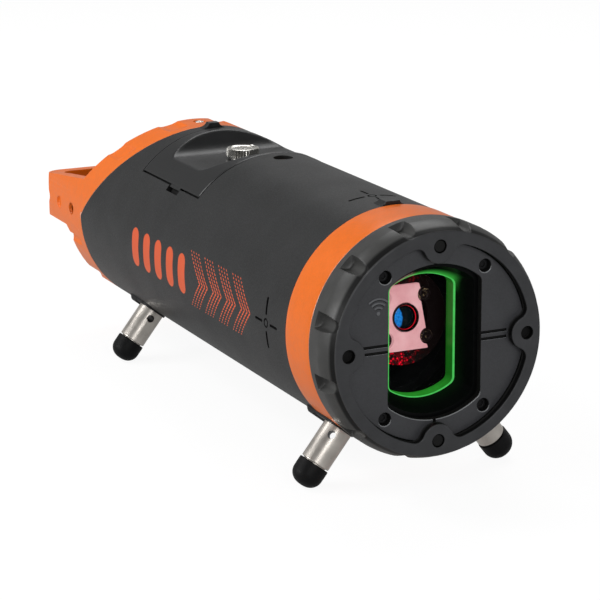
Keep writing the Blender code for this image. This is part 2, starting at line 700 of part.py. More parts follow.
# ---------------------------------------------------------------- battery door
def build_door(beam):
    """Saddle-shaped battery door with its scoop and knob, and the battery under it."""
    bm = bmesh.new()
    sector(bm, DOOR_SKIN_R, BODY_R + 0.0002, DOOR_ANGLE, DOOR_FRONT, DOOR_REAR, steps=36)
    door = place("battery_door", bm, "moulded_black", beam)
    bm = bmesh.new()
    for centre in (90.0 + DOOR_ANGLE + 0.6, 90.0 - DOOR_ANGLE - 0.6):
        sector(bm, DOOR_SKIN_R + 0.0002, BODY_R - 0.0003, 1.3, 0.2245, 0.2385, centre, 3)
    combine(door, place("tool_door_tabs", bm, None, beam), "UNION")
    bm = bmesh.new()
    top = arc(BODY_R - 0.0004, 58.0, 122.0, 20)
    prism(bm, [(-0.0330, 0.0462), (0.0330, 0.0462)] + top, 0.2056, 0.2764, "Y")
    combine(door, place("tool_door_tub", bm, None, beam), "UNION")
    bm = bmesh.new()
    prism(bm, [(0.2000, 0.0622), (0.2200, FLOOR_Z), (0.2640, FLOOR_Z), (0.2755, 0.0622),
               (0.2755, 0.080), (0.2000, 0.080)], -0.080, 0.080, "X")
    combine(door, place("tool_scoop", bm, None, beam))
    bm = bmesh.new()
    turned(bm, [(0.0034, 0.030), (0.0034, 0.070)], 16)
    combine(door, place("tool_knob_hole", bm, None, beam, (0.0, KNOB_Y, 0.0)))

    bm = bmesh.new()
    outlines = []
    points = 48
    stations = (
        (FLOOR_Z + GAP, KNOB_R - 0.0012, 0.0), (FLOOR_Z + 0.0012, KNOB_R - 0.0012, 0.0),
        (FLOOR_Z + 0.0020, KNOB_R, 1.0),
        (KNOB_TOP - 0.0022, KNOB_R, 1.0), (KNOB_TOP - 0.0014, KNOB_R - 0.0007, 0.4),
        (KNOB_TOP - 0.0012, KNOB_R - 0.0026, 0.0), (KNOB_TOP - 0.0003, 0.0048, 0.0),
        (KNOB_TOP, 0.0020, 0.0),
    )
    for height, radius, flute in stations:
        ring = []
        for k in range(points):
            cut = 0.0006 * flute if k % 2 == 0 else 0.0
            turn = 2.0 * math.pi * k / points
            ring.append(((radius - cut) * math.cos(turn), (radius - cut) * math.sin(turn), height))
        outlines.append(ring)
    loft(bm, outlines)
    place("door_knob", bm, "nickel", beam, (0.0, KNOB_Y, 0.0))

    bm = bmesh.new()
    turned(bm, [(0.0030, 0.0425), (0.0030, FLOOR_Z)], 16)
    stud = place("knob_stud", bm, "dark_steel", beam, (0.0, KNOB_Y, 0.0))
    bm = bmesh.new()
    block(bm, (-0.0070, -0.0016, 0.0430), (0.0070, 0.0016, 0.0455))
    combine(stud, place("tool_stud_pin", bm, None, beam, (0.0, KNOB_Y, 0.0)), "UNION")

    bm = bmesh.new()
    block(bm, (-0.0350, 0.2050, -0.0020), (0.0350, 0.2770, 0.0415))
    tray = place("battery_tray", bm, "moulded_black", beam)
    bm = bmesh.new()
    block(bm, (-0.0335, 0.2065, -0.0005), (0.0335, 0.2755, 0.0600))
    combine(tray, place("tool_tray", bm, None, beam))
    bm = bmesh.new()
    block(bm, (-0.0328, 0.2072, 0.0), (0.0328, 0.2748, 0.0400), 0.0030)
    place("battery_pack", bm, "rubber_black", beam)


# ---------------------------------------------------------------- legs
def build_boss(name, leg_frame, radius, flip, step, reach):
    """A boss: a low collar round the leg and a pad behind it that slopes down at its end."""
    toe = BOSS_TOE
    edge = 0.0005
    outline = [(0.0, BOSS_ROOT), (reach, BOSS_ROOT), (reach, toe), (reach - BOSS_RAMP, BOSS_TOP),
               (step + edge, BOSS_TOP), (step, COLLAR_TOP), (0.0, COLLAR_TOP)]
    bm = bmesh.new()
    prism(bm, [(flip * y, z) for y, z in outline], -COLLAR_R, COLLAR_R, "X")
    boss = place("leg_boss_" + name, bm, "moulded_black", leg_frame)
    bm = bmesh.new()
    turned(bm, [(COLLAR_R, BOSS_ROOT), (COLLAR_R, COLLAR_TOP)], SMALL)
    combine(boss, place("tool_boss_collar_" + name, bm, None, leg_frame), "UNION")
    bm = bmesh.new()
    turned(bm, [(radius + GAP, -0.1), (radius + GAP, 0.1)], SEGMENTS, "Y")
    combine(boss, place("tool_boss_seat_" + name, bm, None, leg_frame))
    bm = bmesh.new()
    turned(bm, [(LEG_R + 0.0004, 0.040), (LEG_R + 0.0004, 0.090)], SMALL)
    combine(boss, place("tool_boss_hole_" + name, bm, None, leg_frame))


def build_legs(beam):
    """Four splayed legs, each with its boss on the tube and a domed rubber foot."""
    for name, sign, station, spin in (
        ("front_left", -1.0, LEG_FRONT_Y, 127.0), ("front_right", 1.0, LEG_FRONT_Y, 100.0),
        ("rear_left", -1.0, LEG_REAR_Y, 97.0), ("rear_right", 1.0, LEG_REAR_Y, 70.0),
    ):
        out = (sign * math.sin(LEAN), 0.0, -math.cos(LEAN))
        side = (-sign * math.cos(LEAN), 0.0, -math.sin(LEAN))
        along = Vector(out).cross(Vector(side))
        leg_frame = frame_at("leg_frame_" + name, (0.0, station, 0.0), side, tuple(along), out,
                             beam)
        flip = 1.0 if along.y > 0.0 else -1.0
        if station < BAND_END:
            radius = BAND_R
            build_boss(name, leg_frame, radius, flip, BOSS_STEP_FRONT, BOSS_REACH_FRONT)
        else:
            radius = BODY_R
            build_boss(name, leg_frame, radius, flip, BOSS_STEP_REAR, BOSS_REACH_REAR)

        bm = bmesh.new()
        start = radius + LEG_START
        core = LEG_R - LEG_CORE
        turned(bm, [(LEG_R - LEG_EASE, start), (LEG_R, start + LEG_EASE), (LEG_R, LEG_END),
                    (core, LEG_END), (core, LEG_END + CORE_REACH)], SMALL)
        leg = place("leg_" + name, bm, "nickel", leg_frame)
        bm = bmesh.new()
        prism(bm, arc(LEG_HOLE_R, 0.0, 330.0, 11, (0.0, LEG_HOLE_AT)), -0.02, 0.02, "X")
        hole = place("tool_leg_hole_" + name, bm, None, leg_frame)
        hole.rotation_euler = (0.0, 0.0, math.radians(spin))
        combine(leg, hole)

        bm = bmesh.new()
        profile = [(FOOT_R - FOOT_LIP, LEG_END + FOOT_LIP), (FOOT_R, LEG_END + 2.0 * FOOT_LIP)]
        for k in range(7):
            bend = math.radians(90.0 * k / 6.0)
            profile.append((max(FOOT_R * math.cos(bend), FOOT_LOW),
                            FOOT_CENTRE + FOOT_DOME * math.sin(bend)))
        turned(bm, profile, SMALL)
        foot = place("foot_" + name, bm, "rubber_black", leg_frame)
        bm = bmesh.new()
        bore_end = LEG_END + CORE_REACH + GAP
        turned(bm, [(core + GAP, LEG_END - 0.004), (core + GAP, bore_end)], SMALL)
        combine(foot, place("tool_foot_bore_" + name, bm, None, leg_frame))


# ---------------------------------------------------------------- laser head
def build_head(beam):
    """The laser head in its two-axis gimbal, seen through the window, and its drives."""
    yoke = frame_at("line_axis", (0.0, PIVOT_Y, 0.0), (1, 0, 0), (0, 1, 0), (0, 0, 1), beam)
    tilt = frame_at("grade_axis", (0.0, 0.0, 0.0), (1, 0, 0), (0, 1, 0), (0, 0, 1), yoke)
    tilt.rotation_euler = (-math.radians(HEAD_TILT), 0.0, 0.0)

    bm = bmesh.new()
    lathe(bm, [(0.0440, -0.0080), (0.0500, -0.0080), (0.0500, 0.0080), (0.0440, 0.0080)], 48)
    ring = place("gimbal_ring", bm, "anodised", yoke)
    bm = bmesh.new()
    for low, high in ((0.0470, 0.0570), (-0.0570, -0.0470)):
        prism(bm, arc(0.0040, 0.0, 345.0, 23), low, high, "Z")
    combine(ring, place("tool_ring_pivots", bm, None, yoke), "UNION")

    bm = bmesh.new()
    turned(bm, [(0.0140, -0.0300), (0.0140, 0.0740), (0.0130, 0.0750)], 40, "Y")
    tube = place("laser_tube", bm, "anodised", tilt)
    bm = bmesh.new()
    block(bm, (-HEAD_HALF_HIGH, 0.0028 - HEAD_FRONT, -0.0168),
          (HEAD_HALF_HIGH, 0.0110 - HEAD_FRONT, 0.0168))
    combine(tube, place("tool_head_block", bm, None, tilt), "UNION")
    bm = bmesh.new()
    prism(bm, arc(0.0040, 0.0, 345.0, 23), -0.0436, 0.0436, "X")
    combine(tube, place("tool_trunnions", bm, None, tilt), "UNION")
    bm = bmesh.new()
    well = APERTURE_R + GAP
    turned(bm, [(well, -0.0500), (well, 0.0070 - HEAD_FRONT)], SMALL, "Y")
    combine(tube, place("tool_aperture_well", bm, None, tilt))

    bm = bmesh.new()
    prism(bm, [(-HEAD_HALF_LOW, -HEAD_HALF_HEIGHT), (HEAD_HALF_LOW, -HEAD_HALF_HEIGHT),
               (HEAD_HALF_HIGH, HEAD_HALF_HEIGHT), (-HEAD_HALF_HIGH, HEAD_HALF_HEIGHT)],
          -HEAD_FRONT, 0.0025 - HEAD_FRONT, "Y")
    plate = place("head_plate", bm, "plate_satin", tilt)
    bm = bmesh.new()
    for x in (-BITE_X, BITE_X):
        for z in (-BITE_Z, BITE_Z):
            prism(bm, arc(BITE_R, 0.0, 337.5, 15, (x, z)), -0.05, -0.03, "Y")
    prism(bm, arc(APERTURE_R + GAP, 0.0, 345.0, 23), -0.05, -0.03, "Y")
    combine(plate, place("tool_plate_holes", bm, None, tilt))

    bm = bmesh.new()
    ring_bore = LENS_R + GAP
    rear, front = 0.0055 - HEAD_FRONT, -0.0004 - HEAD_FRONT
    lathe(bm, [(ring_bore, rear), (APERTURE_R, rear), (APERTURE_R, front),
               (APERTURE_R - 0.0006, front), (ring_bore, front + 0.0016)], 32)
    place("aperture_ring", bm, "gloss_black", tilt)
    bm = bmesh.new()
    turned(bm, [(LENS_R - 0.0001, 0.0028 - HEAD_FRONT), (LENS_R, 0.0032 - HEAD_FRONT),
                (LENS_R, 0.0050 - HEAD_FRONT)], 32, "Y")
    place("laser_lens", bm, "lens_blue", tilt)

    bm = bmesh.new()
    turned(bm, [(0.0080, 0.0250), (0.0080, 0.0550), (0.0025, 0.0550), (0.0025, 0.0600)], SMALL,
           "Y")
    place("grade_motor", bm, "dark_steel", yoke, (-0.0270, 0.0, -0.0270))
    bm = bmesh.new()
    turned(bm, [(0.0080, 0.1020), (0.0080, 0.1320), (0.0025, 0.1320), (0.0025, 0.1370)], SMALL,
           "Y")
    place("line_motor", bm, "dark_steel", beam, (0.0350, 0.0, -0.0260))
    bm = bmesh.new()
    turned(bm, [(0.0572, 0.1750), (0.0572, 0.1770)], 48, "Y")
    place("middle_bulkhead", bm, "anodised", beam)
    bm = bmesh.new()
    block(bm, (-0.0380, 0.2000, -0.0300), (0.0380, 0.3200, -0.0284))
    place("main_board", bm, "circuit", beam)


def main():
    """Build every part under one frame on the beam axis."""
    clear_scene()
    beam = bpy.data.objects.new("beam_axis", None)
    bpy.context.scene.collection.objects.link(beam)
    beam.location = (0.0, -HANDLE_REAR / 2.0, AXIS_Z)
    build_front(beam)
    build_tube(beam)
    build_rear(beam)
    build_door(beam)
    build_legs(beam)
    build_head(beam)


main()
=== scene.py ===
"""The looks of the pipe laser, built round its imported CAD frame.

Meshes are drawn in millimetres in the beam frame: x to the right, y back from the bumper's
face, z up from the beam axis. They are turned into metres when they become objects.
"""

from math import acos, asin, atan2, cos, degrees, dist, hypot, pi, radians, sin, sqrt, tan, tau

import bmesh
import bpy
from mathutils import Matrix, Vector


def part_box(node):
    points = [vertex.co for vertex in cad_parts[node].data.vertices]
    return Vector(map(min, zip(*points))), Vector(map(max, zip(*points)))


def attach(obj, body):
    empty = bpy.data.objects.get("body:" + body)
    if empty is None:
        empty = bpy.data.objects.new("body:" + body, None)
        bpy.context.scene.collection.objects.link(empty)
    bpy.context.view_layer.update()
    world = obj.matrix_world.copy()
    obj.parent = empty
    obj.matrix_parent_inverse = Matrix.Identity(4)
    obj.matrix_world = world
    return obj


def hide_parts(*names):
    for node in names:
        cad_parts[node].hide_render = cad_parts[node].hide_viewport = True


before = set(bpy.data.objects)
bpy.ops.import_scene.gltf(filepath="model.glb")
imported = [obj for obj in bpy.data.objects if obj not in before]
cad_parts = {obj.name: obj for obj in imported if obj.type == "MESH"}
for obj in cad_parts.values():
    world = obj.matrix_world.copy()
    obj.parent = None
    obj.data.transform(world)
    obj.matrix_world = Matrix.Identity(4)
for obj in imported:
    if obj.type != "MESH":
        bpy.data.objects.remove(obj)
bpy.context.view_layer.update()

MM = 0.001
face_low, face_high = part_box("front_bumper")
BEAM = Matrix.Translation((0, face_low.y, (face_low.z + face_high.z) / 2))

# ---------------------------------------------------------------- dimensions, millimetres
FINE = 256                  # segments round the large diameters
SMALL = 64

TUBE_R = 61
TUBE_BORE = 57.6
TUBE_FRONT = 51
TUBE_REAR = 350
BUMPER_R = 61.8
BUMPER_FACE_R = 57.2
BUMPER_BORE = 53
BUMPER_LEN = 22.4
SLOPE_START = 0.6           # the bumper's outside swells from its face over this stretch
SLOPE_LEN = 11.4
SLOPE_DROP = 3.8
LIP_R = 51.7                # opening of the bumper between its four lobes
LIP_T = 4.5
LOBE_R = 8.8
LOBE_AT = 50.3
LOBE_BLEND = 5
PIN_HOLE_R = 3.5
PIN_R = 3.15
BAND_R = 61.3
BAND_START = 22.7
BAND_END = 50.7
NOTCH_COUNT = 12
NOTCH_HALF = 4.6
NOTCH_DEPTH = 4
NOTCH_LEN = 17.6
NOTCH_END = 1.2
NOTCH_SPAN = 9            # columns further from a notch's middle keep their places

PLATE_R = 51.3
SCREW_HOLE_EDGE = 3.55
PLATE_FRONT = 4.8
PLATE_REAR = 9
SCREW_PITCH_R = 46
SCREWS = {"upper_right": 52.5, "upper_left": 127.5, "lower_left": 232.5, "lower_right": 307.5}
SIGNAL_AT = (-31.9, 18.7)
WINDOW = (40.2, 26.3, 4)  # barrel outlines: radius, half width, corner radius
THROAT = (32.5, 19.1, 4)
RING_OUTER = (37, 23.5, 4)
RING_BORE = (32, 18.2, 4)
GLASS = (31.7, 17.9, 4)
RING_START = 19.3
RING_END = 27.1
HOOD_REAR = 27.3

DOOR_FRONT = 198.3
DOOR_REAR = 280.7
DOOR_ANGLE = 48.8
DOOR_R = 61.2
FLOOR_Z = 50
KNOB_Y = 240.9
KNOB_R = 9.4
KNOB_TOP = 57
TOP_HOLE_Y = 185

CAP_START = 350.3
CAP_LEN = 25.7
CAP_BORE = 54
CAP_EASE = 0.7
CAP_SCREW_Y = 305
CAP_NOTCH_DEPTH = 1.7
CAP_NOTCH_GROWTH = 1.3      # the rear cap's notches are this much wider than the bumper's
HANDLE_REAR = 417
HANDLE_CORNER = 11
PANEL_R = 53.6
PANEL_Y = 371.5
PIVOT_Y = 75
HEAD_TILT = 7.5
APERTURE_R = 7.4
LENS_R = 5.7
LENS_EDGE = -36.1

LEG_ANGLE = 38
LEG_FRONT_Y = 37.2
LEG_REAR_Y = 292.8
LEG_R = 7.9
LEG_END = 83.4
LEG_HOLE_AT = 66.8
LEG_HOLE_R = 2.1
FOOT_R = 8.3
FOOT_CENTRE = 89.5
FOOT_DOME = 7
COLLAR_R = 8.9
COLLAR_TOP = 62.1
BOSS_TOP = 63.2
BOSS_TOE = 60.4
BOSS_RAMP = 7


# ---------------------------------------------------------------- outlines
def arc(radius, start, end, steps, centre=(0, 0)):
    """Points along an arc, in degrees, both ends included."""
    turns = [radians(start + (end - start) * k / steps) for k in range(steps + 1)]
    return [(centre[0] + radius * cos(t), centre[1] + radius * sin(t)) for t in turns]


def circle(radius, count, centre=(0, 0)):
    """A closed ring of points."""
    return arc(radius, 0, 360 * (count - 1) / count, count - 1, centre)


def ring_part(outer, inner, start, end, steps, centre=(0, 0)):
    """The outline of a piece of a ring between two angles."""
    back = arc(inner, start, end, steps, centre)
    return arc(outer, start, end, steps, centre) + back[::-1]


def mirrored(line):
    """The same points on the other side of the upright axis, in the opposite order."""
    return [(-a, b) for a, b in reversed(line)]


def barrel(radius, half, fillet, steps=48):
    """The window outline: a circle cut off by two upright sides, with rounded corners."""
    cx = half - fillet
    cz = sqrt((radius - fillet) ** 2 - cx ** 2)
    lean = degrees(atan2(cz, cx))
    right = arc(fillet, 0, lean, 8, (cx, cz))
    upper = right + arc(radius, lean, 180 - lean, steps)[1:-1] + mirrored(right)
    return upper + [(x, -z) for x, z in reversed(upper)]


def round_box(width, height, fillet, steps=6, centre=(0, 0)):
    """A rectangle with rounded corners, anticlockwise."""
    cx, cy = width / 2 - fillet, height / 2 - fillet
    points = []
    for k, (sx, sy) in enumerate(((1, 1), (-1, 1), (-1, -1), (1, -1))):
        corner = (centre[0] + sx * cx, centre[1] + sy * cy)
        points += arc(fillet, 90 * k, 90 * (k + 1), steps, corner)
    return points


def neighbours(outline, k):
    """A corner of an outline with the one before it and the one after it."""
    return [Vector(outline[(k + j) % len(outline)]) for j in (-1, 0, 1)]


def rounded(corners, fillet, steps=5):
    """A polygon, anticlockwise, with its convex corners rounded to a radius."""
    points = []
    for k in range(len(corners)):
        before, here, after = neighbours(corners, k)
        back, ahead = (before - here).normalized(), (after - here).normalized()
        reach = fillet / tan(back.angle(ahead) / 2)
        start, end = here + back * reach, here + ahead * reach
        for j in range(steps + 1):
            t = j / steps
            points.append(tuple(start * (1 - t) ** 2 + here * 2 * t * (1 - t) + end * t ** 2))
    return points


def inset(outline, distance):
    """Move an anticlockwise outline inwards by a distance."""
    moved = []
    for k in range(len(outline)):
        before, here, after = neighbours(outline, k)
        a, b = (here - before).normalized(), (after - here).normalized()
        normal = Vector((-a.y - b.y, a.x + b.x))
        moved.append(tuple(here + normal * (2 * distance / max(normal.length_squared, 0.5))))
    return moved


def eased(radius, station, ease, steps, ahead=1):
    """A rounded corner of a turned profile, from its flat end to its wall."""
    return [(radius - ease + ease * sin(a), station + ahead * (ease - ease * cos(a)))
            for a in (radians(90 * k / steps) for k in range(steps + 1))]


# ---------------------------------------------------------------- mesh helpers
def at_station(axis, a, b, h):
    """An outline's point (a, b) at station h along an axis."""
    return {"X": (h, a, b), "Y": (a, h, b), "Z": (a, b, h)}[axis]


def stack(rows, axis="Y"):
    """The points of outlines, each given with its station along an axis."""
    return [[at_station(axis, a, b, h) for a, b in row] for row, h in rows]


def polar(radius, turn, station):
    """A point at an angle about the beam axis."""
    return (radius * cos(turn), station, radius * sin(turn))


def skin(bm, rows, wrap=True, close=False):
    """Quads between rows of points that have the same length. Returns the rows of vertices."""
    made = [[bm.verts.new(p) for p in row] for row in rows]
    pairs = list(zip(made[:-1], made[1:]))
    if close:
        pairs.append((made[-1], made[0]))
    count = len(made[0])
    for low, high in pairs:
        for i in range(count if wrap else count - 1):
            j = (i + 1) % count
            bm.faces.new((low[i], low[j], high[j], high[i]))
    return made


def capped(bm, rows):
    """Skin rows into a solid with flat ends."""
    made = skin(bm, rows)
    bm.faces.new(made[0][::-1])
    bm.faces.new(made[-1])


def fill(bm, *rows):
    """Close the flat area inside the first loop and outside the others."""
    edges = []
    for row in rows:
        for k in range(len(row)):
            pair = (row[k - 1], row[k])
            edges.append(bm.edges.get(pair) or bm.edges.new(pair))
    bmesh.ops.triangle_fill(bm, use_beauty=True, edges=edges)


def filled(bm, rows):
    """Skin rows into a solid whose ends may be any shape."""
    made = skin(bm, rows)
    fill(bm, made[0])
    fill(bm, made[-1])


def edge_rows(outline, station, radius, direction, material_side, steps=3):
    """Loops that round an edge, from the flat face to the wall. Each is (outline, station)."""
    rows = []
    for k in range(steps + 1):
        bend = radians(90 * k / steps)
        shift = radius * (1 - sin(bend)) * material_side
        depth = radius * (1 - cos(bend)) * direction
        rows.append((inset(outline, shift) if shift else outline, station + depth))
    return rows


def plate(bm, outline, holes, low, high, axis="Y", ease_low=0.3, ease_high=0.3):
    """A flat plate with holes and rounded edges."""
    caps_low, caps_high = [], []
    for line, side in [(outline, 1)] + [(hole, -1) for hole in holes]:
        rows = edge_rows(line, low, ease_low, 1, side) if ease_low else [(line, low)]
        back = edge_rows(line, high, ease_high, -1, side) if ease_high else [(line, high)]
        made = skin(bm, stack(rows + back[::-1], axis))
        caps_low.append(made[0])
        caps_high.append(made[-1])
    fill(bm, *caps_low)
    fill(bm, *caps_high)


def lathe(bm, profile, segments, axis="Y"):
    """Revolve a closed (radius, station) profile that stays off the axis."""
    skin(bm, stack([(circle(r, segments), h) for r, h in profile], axis), close=True)


def turned(bm, profile, segments, axis="Y", centre=(0, 0)):
    """Revolve an open (radius, station) profile into a solid with flat ends."""
    capped(bm, stack([(circle(r, segments, centre), h) for r, h in profile], axis))


def prism(bm, outline, low, high, axis):
    """A plain extrusion, used for cutters and hidden solids."""
    capped(bm, stack([(outline, low), (outline, high)], axis))


def block(bm, low, high):
    """A plain box, used for cutters."""
    outline = [(low[0], low[1]), (high[0], low[1]), (high[0], high[1]), (low[0], high[1])]
    prism(bm, outline, low[2], high[2], "Z")


def sector(bm, inner, outer, middle, half, y_low, y_high, steps=24):
    """A piece of tube wall between two angles and two stations."""
    prism(bm, ring_part(outer, inner, middle - half, middle + half, steps), y_low, y_high, "Y")


# ---------------------------------------------------------------- object helpers
def moved(y, z=0, x=0):
    """The beam frame moved by millimetres."""
    return BEAM @ Matrix.Translation((x * MM, y * MM, z * MM))


def solid(name, bm, at=BEAM):
    """Turn a bmesh drawn in millimetres into an object placed by a matrix."""
    bmesh.ops.recalc_face_normals(bm, faces=bm.faces[:])
    bmesh.ops.scale(bm, vec=(MM, MM, MM), verts=bm.verts[:])
    mesh = bpy.data.meshes.new(name)
    bm.to_mesh(mesh)
    bm.free()
    item = bpy.data.objects.new(name, mesh)
    bpy.context.scene.collection.objects.link(item)
    item.matrix_world = at
    return item


def drawn(name, draw, *shape, at=BEAM):
    """An object made by one mesh helper."""
    bm = bmesh.new()
    draw(bm, *shape)
    return solid(name, bm, at)


def settle(item):
    """Apply an item's modifiers to its mesh."""
    bpy.context.view_layer.update()
    graph = bpy.context.evaluated_depsgraph_get()
    mesh = bpy.data.meshes.new_from_object(item.evaluated_get(graph))
    old = item.data
    item.modifiers.clear()
    item.data = mesh
    bpy.data.meshes.remove(old)


def carve(item, *tools, operation="DIFFERENCE"):
    """Cut, join or intersect an item with tools, and clear the tools away."""
    for tool in tools:
        step = item.modifiers.new(tool.name, "BOOLEAN")
        step.operation = operation
        step.solver = "EXACT"
        step.object = tool
    settle(item)
    for tool in tools:
        bpy.data.objects.remove(tool)


def soften(item, width, angle, steps):
    """Round an item's sharp edges."""
    step = item.modifiers.new("edges", "BEVEL")
    step.width = width * MM
    step.segments = steps
    step.limit_method = "ANGLE"
    step.angle_limit = radians(angle)
    settle(item)


def soften_where(item, width, wanted):
    """Round the sharp edges whose middle, in millimetres, is wanted."""
    bm = bmesh.new()
    bm.from_mesh(item.data)
    picked = []
    for edge in bm.edges:
        middle = (edge.verts[0].co + edge.verts[1].co) / (2 * MM)
        if len(edge.link_faces) == 2 and edge.calc_face_angle(0) > 0.5 and wanted(middle):
            picked.append(edge)
    bmesh.ops.bevel(bm, geom=picked, offset=width * MM, segments=2, affect="EDGES",
                    profile=0.5, clamp_overlap=True)
    bm.to_mesh(item.data)
    bm.free()


def mark_faces(item, wanted, index=1):
    """Give another of a piece's materials to the faces wanted by their middle and normal."""
    for face in item.data.polygons:
        if wanted(face.center / MM, face.normal):
            face.material_index = index


def true_round(mesh, radius):
    """Point the normals of faces on a cylinder about the beam axis straight outwards."""
    normals = [entry.vector.copy() for entry in mesh.corner_normals]
    near = 0.03 * MM
    for face in mesh.polygons:
        middle = Vector((face.center.x, 0, face.center.z))
        if middle.length < 0.5 * radius * MM or face.normal.dot(middle.normalized()) < 0.99:
            continue
        spots = [mesh.vertices[v].co for v in face.vertices]
        if any(abs(hypot(p.x, p.z) - radius * MM) > near for p in spots):
            continue
        for corner, p in zip(face.loop_indices, spots):
            normals[corner] = Vector((p.x, 0, p.z)).normalized()
    mesh.normals_split_custom_set(normals)


def dress(item, looks, stands_for=None, body="housing", sharp=42, weighted=True, radius=None):
    """Shade a finished piece, give it materials, hang it on its body and hide the CAD part it
    stands for.
    """
    names = [looks] if isinstance(looks, str) else looks
    mesh = item.data
    indices = [face.material_index for face in mesh.polygons]
    mesh.materials.clear()
    for name in names:
        mesh.materials.append(LOOK[name][1])
    for face, index in zip(mesh.polygons, indices):
        face.material_index = min(index, len(names) - 1)
    mesh.shade_smooth()
    mesh.set_sharp_from_angle(angle=radians(sharp))
    if weighted:
        step = item.modifiers.new("normals", "WEIGHTED_NORMAL")
        step.keep_sharp = True
        settle(item)
    if radius:
        true_round(item.data, radius)
    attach(item, body)
    if stands_for:
        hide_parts(stands_for)


# ---------------------------------------------------------------- materials
class Surface:
    """A Principled material with procedural layers in object coordinates."""

    def __init__(self, name, colour, roughness, metallic=0, sheen=0.5):
        self.material = bpy.data.materials.new(name)
        self.material.use_nodes = True
        self.tree = self.material.node_tree
        self.shader = self.tree.nodes["Principled BSDF"]
        self.set("Base Color", (*colour, 1))
        self.set("Roughness", roughness)
        self.set("Metallic", metallic)
        self.set("Specular IOR Level", sheen)
        self.place = self.node("TexCoord").outputs["Object"]
        self.height = None

    def node(self, kind):
        return self.tree.nodes.new("ShaderNode" + kind)

    def set(self, socket, value):
        self.shader.inputs[socket].default_value = value

    def link(self, source, target):
        self.tree.links.new(source, target)

    def give(self, value, socket):
        """A number or colour set on a socket, or a source linked to it."""
        if isinstance(value, (int, float)):
            socket.default_value = value
        elif isinstance(value, tuple):
            socket.default_value = (*value, 1)
        else:
            self.link(value, socket)

    def math(self, operation, *values):
        node = self.node("Math")
        node.operation = operation
        for k, value in enumerate(values):
            self.give(value, node.inputs[k])
        return node.outputs[0]

    def times(self, a, b):
        return self.math("MULTIPLY", a, b)

    def length(self, a, b):
        return self.math("SQRT", self.math("MULTIPLY_ADD", a, a, self.times(b, b)))

    def ramp(self, value, low, high, out_low=0, out_high=1):
        node = self.node("MapRange")
        sockets = ("Value", "From Min", "From Max", "To Min", "To Max")
        for socket, number in zip(sockets, (value, low, high, out_low, out_high)):
            self.give(number, node.inputs[socket])
        return node.outputs["Result"]

    def noise(self, size, detail=2, stretch=(1, 1, 1)):
        """Noise whose features are about size millimetres across."""
        scaling = self.node("VectorMath")
        scaling.operation = "MULTIPLY"
        self.link(self.place, scaling.inputs[0])
        scaling.inputs[1].default_value = [1 / (size * s * MM) for s in stretch]
        node = self.node("TexNoise")
        node.inputs["Scale"].default_value = 1
        node.inputs["Detail"].default_value = detail
        self.link(scaling.outputs[0], node.inputs["Vector"])
        return node.outputs["Fac"]

    def patches(self, size, detail=3, low=0, high=1):
        """Soft uneven patches, between two values."""
        return self.ramp(self.noise(size, detail), 0.3, 0.7, low, high)

    def cells(self, size):
        """Distance from scattered points."""
        node = self.node("TexVoronoi")
        node.inputs["Scale"].default_value = 1 / (size * MM)
        self.link(self.place, node.inputs["Vector"])
        return node.outputs["Distance"]

    def axis(self, letter):
        """One object coordinate, in millimetres."""
        node = self.node("SeparateXYZ")
        self.link(self.place, node.inputs[0])
        return self.times(node.outputs[letter], 1 / MM)

    def mix(self, factor, a, b):
        node = self.node("Mix")
        node.data_type = "RGBA"
        for value, socket in ((factor, "Factor"), (a, 6), (b, 7)):
            self.give(value, node.inputs[socket])
        return node.outputs[2]

    def colour(self, factor, a, b):
        self.link(self.mix(factor, a, b), self.shader.inputs["Base Color"])

    def roughness(self, source):
        self.link(source, self.shader.inputs["Roughness"])

    def glow(self, factor, a, b, strength=1):
        """Light given off, between two colours."""
        self.link(self.mix(factor, a, b), self.shader.inputs["Emission Color"])
        self.set("Emission Strength", strength)

    def bump(self, source, strength, depth):
        """A bump layer. depth is the height in millimetres of the whole range."""
        node = self.node("Bump")
        node.inputs["Strength"].default_value = strength
        node.inputs["Distance"].default_value = depth * MM
        self.link(source, node.inputs["Height"])
        self.link(node.outputs["Normal"], self.shader.inputs["Normal"])


def scaled(colour, factor):
    """A colour made lighter or darker."""
    return tuple(min(1, c * factor) for c in colour)


def grey(value):
    """A colour without hue."""
    return (value, value, value)


def moulded(name, colour, roughness, metallic=0, grain=0.7, relief=0.05, mottle=0.25,
            spread=0.08, patch=14, sheen=0.35):
    """A finish with fine grain, soft patches of tone and uneven gloss."""
    s = Surface(name, colour, roughness, metallic, sheen)
    specks = s.ramp(s.noise(grain * 1.6, 1), 0.35, 0.65)
    both = s.math("MULTIPLY_ADD", specks, 0.45, s.times(s.patches(patch), 0.55))
    s.colour(both, scaled(colour, 1 - mottle), scaled(colour, 1 + mottle))
    s.roughness(s.ramp(both, 0, 1, roughness - spread, roughness + spread))
    s.bump(s.noise(grain), 0.6, relief)
    return s


def brushed(name, colour, roughness, stretch, size=0.5, relief=0.008):
    """Metal with fine lines along one direction."""
    s = Surface(name, colour, roughness, 1)
    lines = s.noise(size, 2, stretch)
    patches = s.patches(9)
    uneven = s.math("MULTIPLY_ADD", patches, 0.08, roughness - 0.12)
    s.roughness(s.math("MULTIPLY_ADD", lines, 0.16, uneven))
    s.colour(patches, scaled(colour, 0.86), scaled(colour, 1.08))
    s.bump(lines, 0.5, relief)
    return s


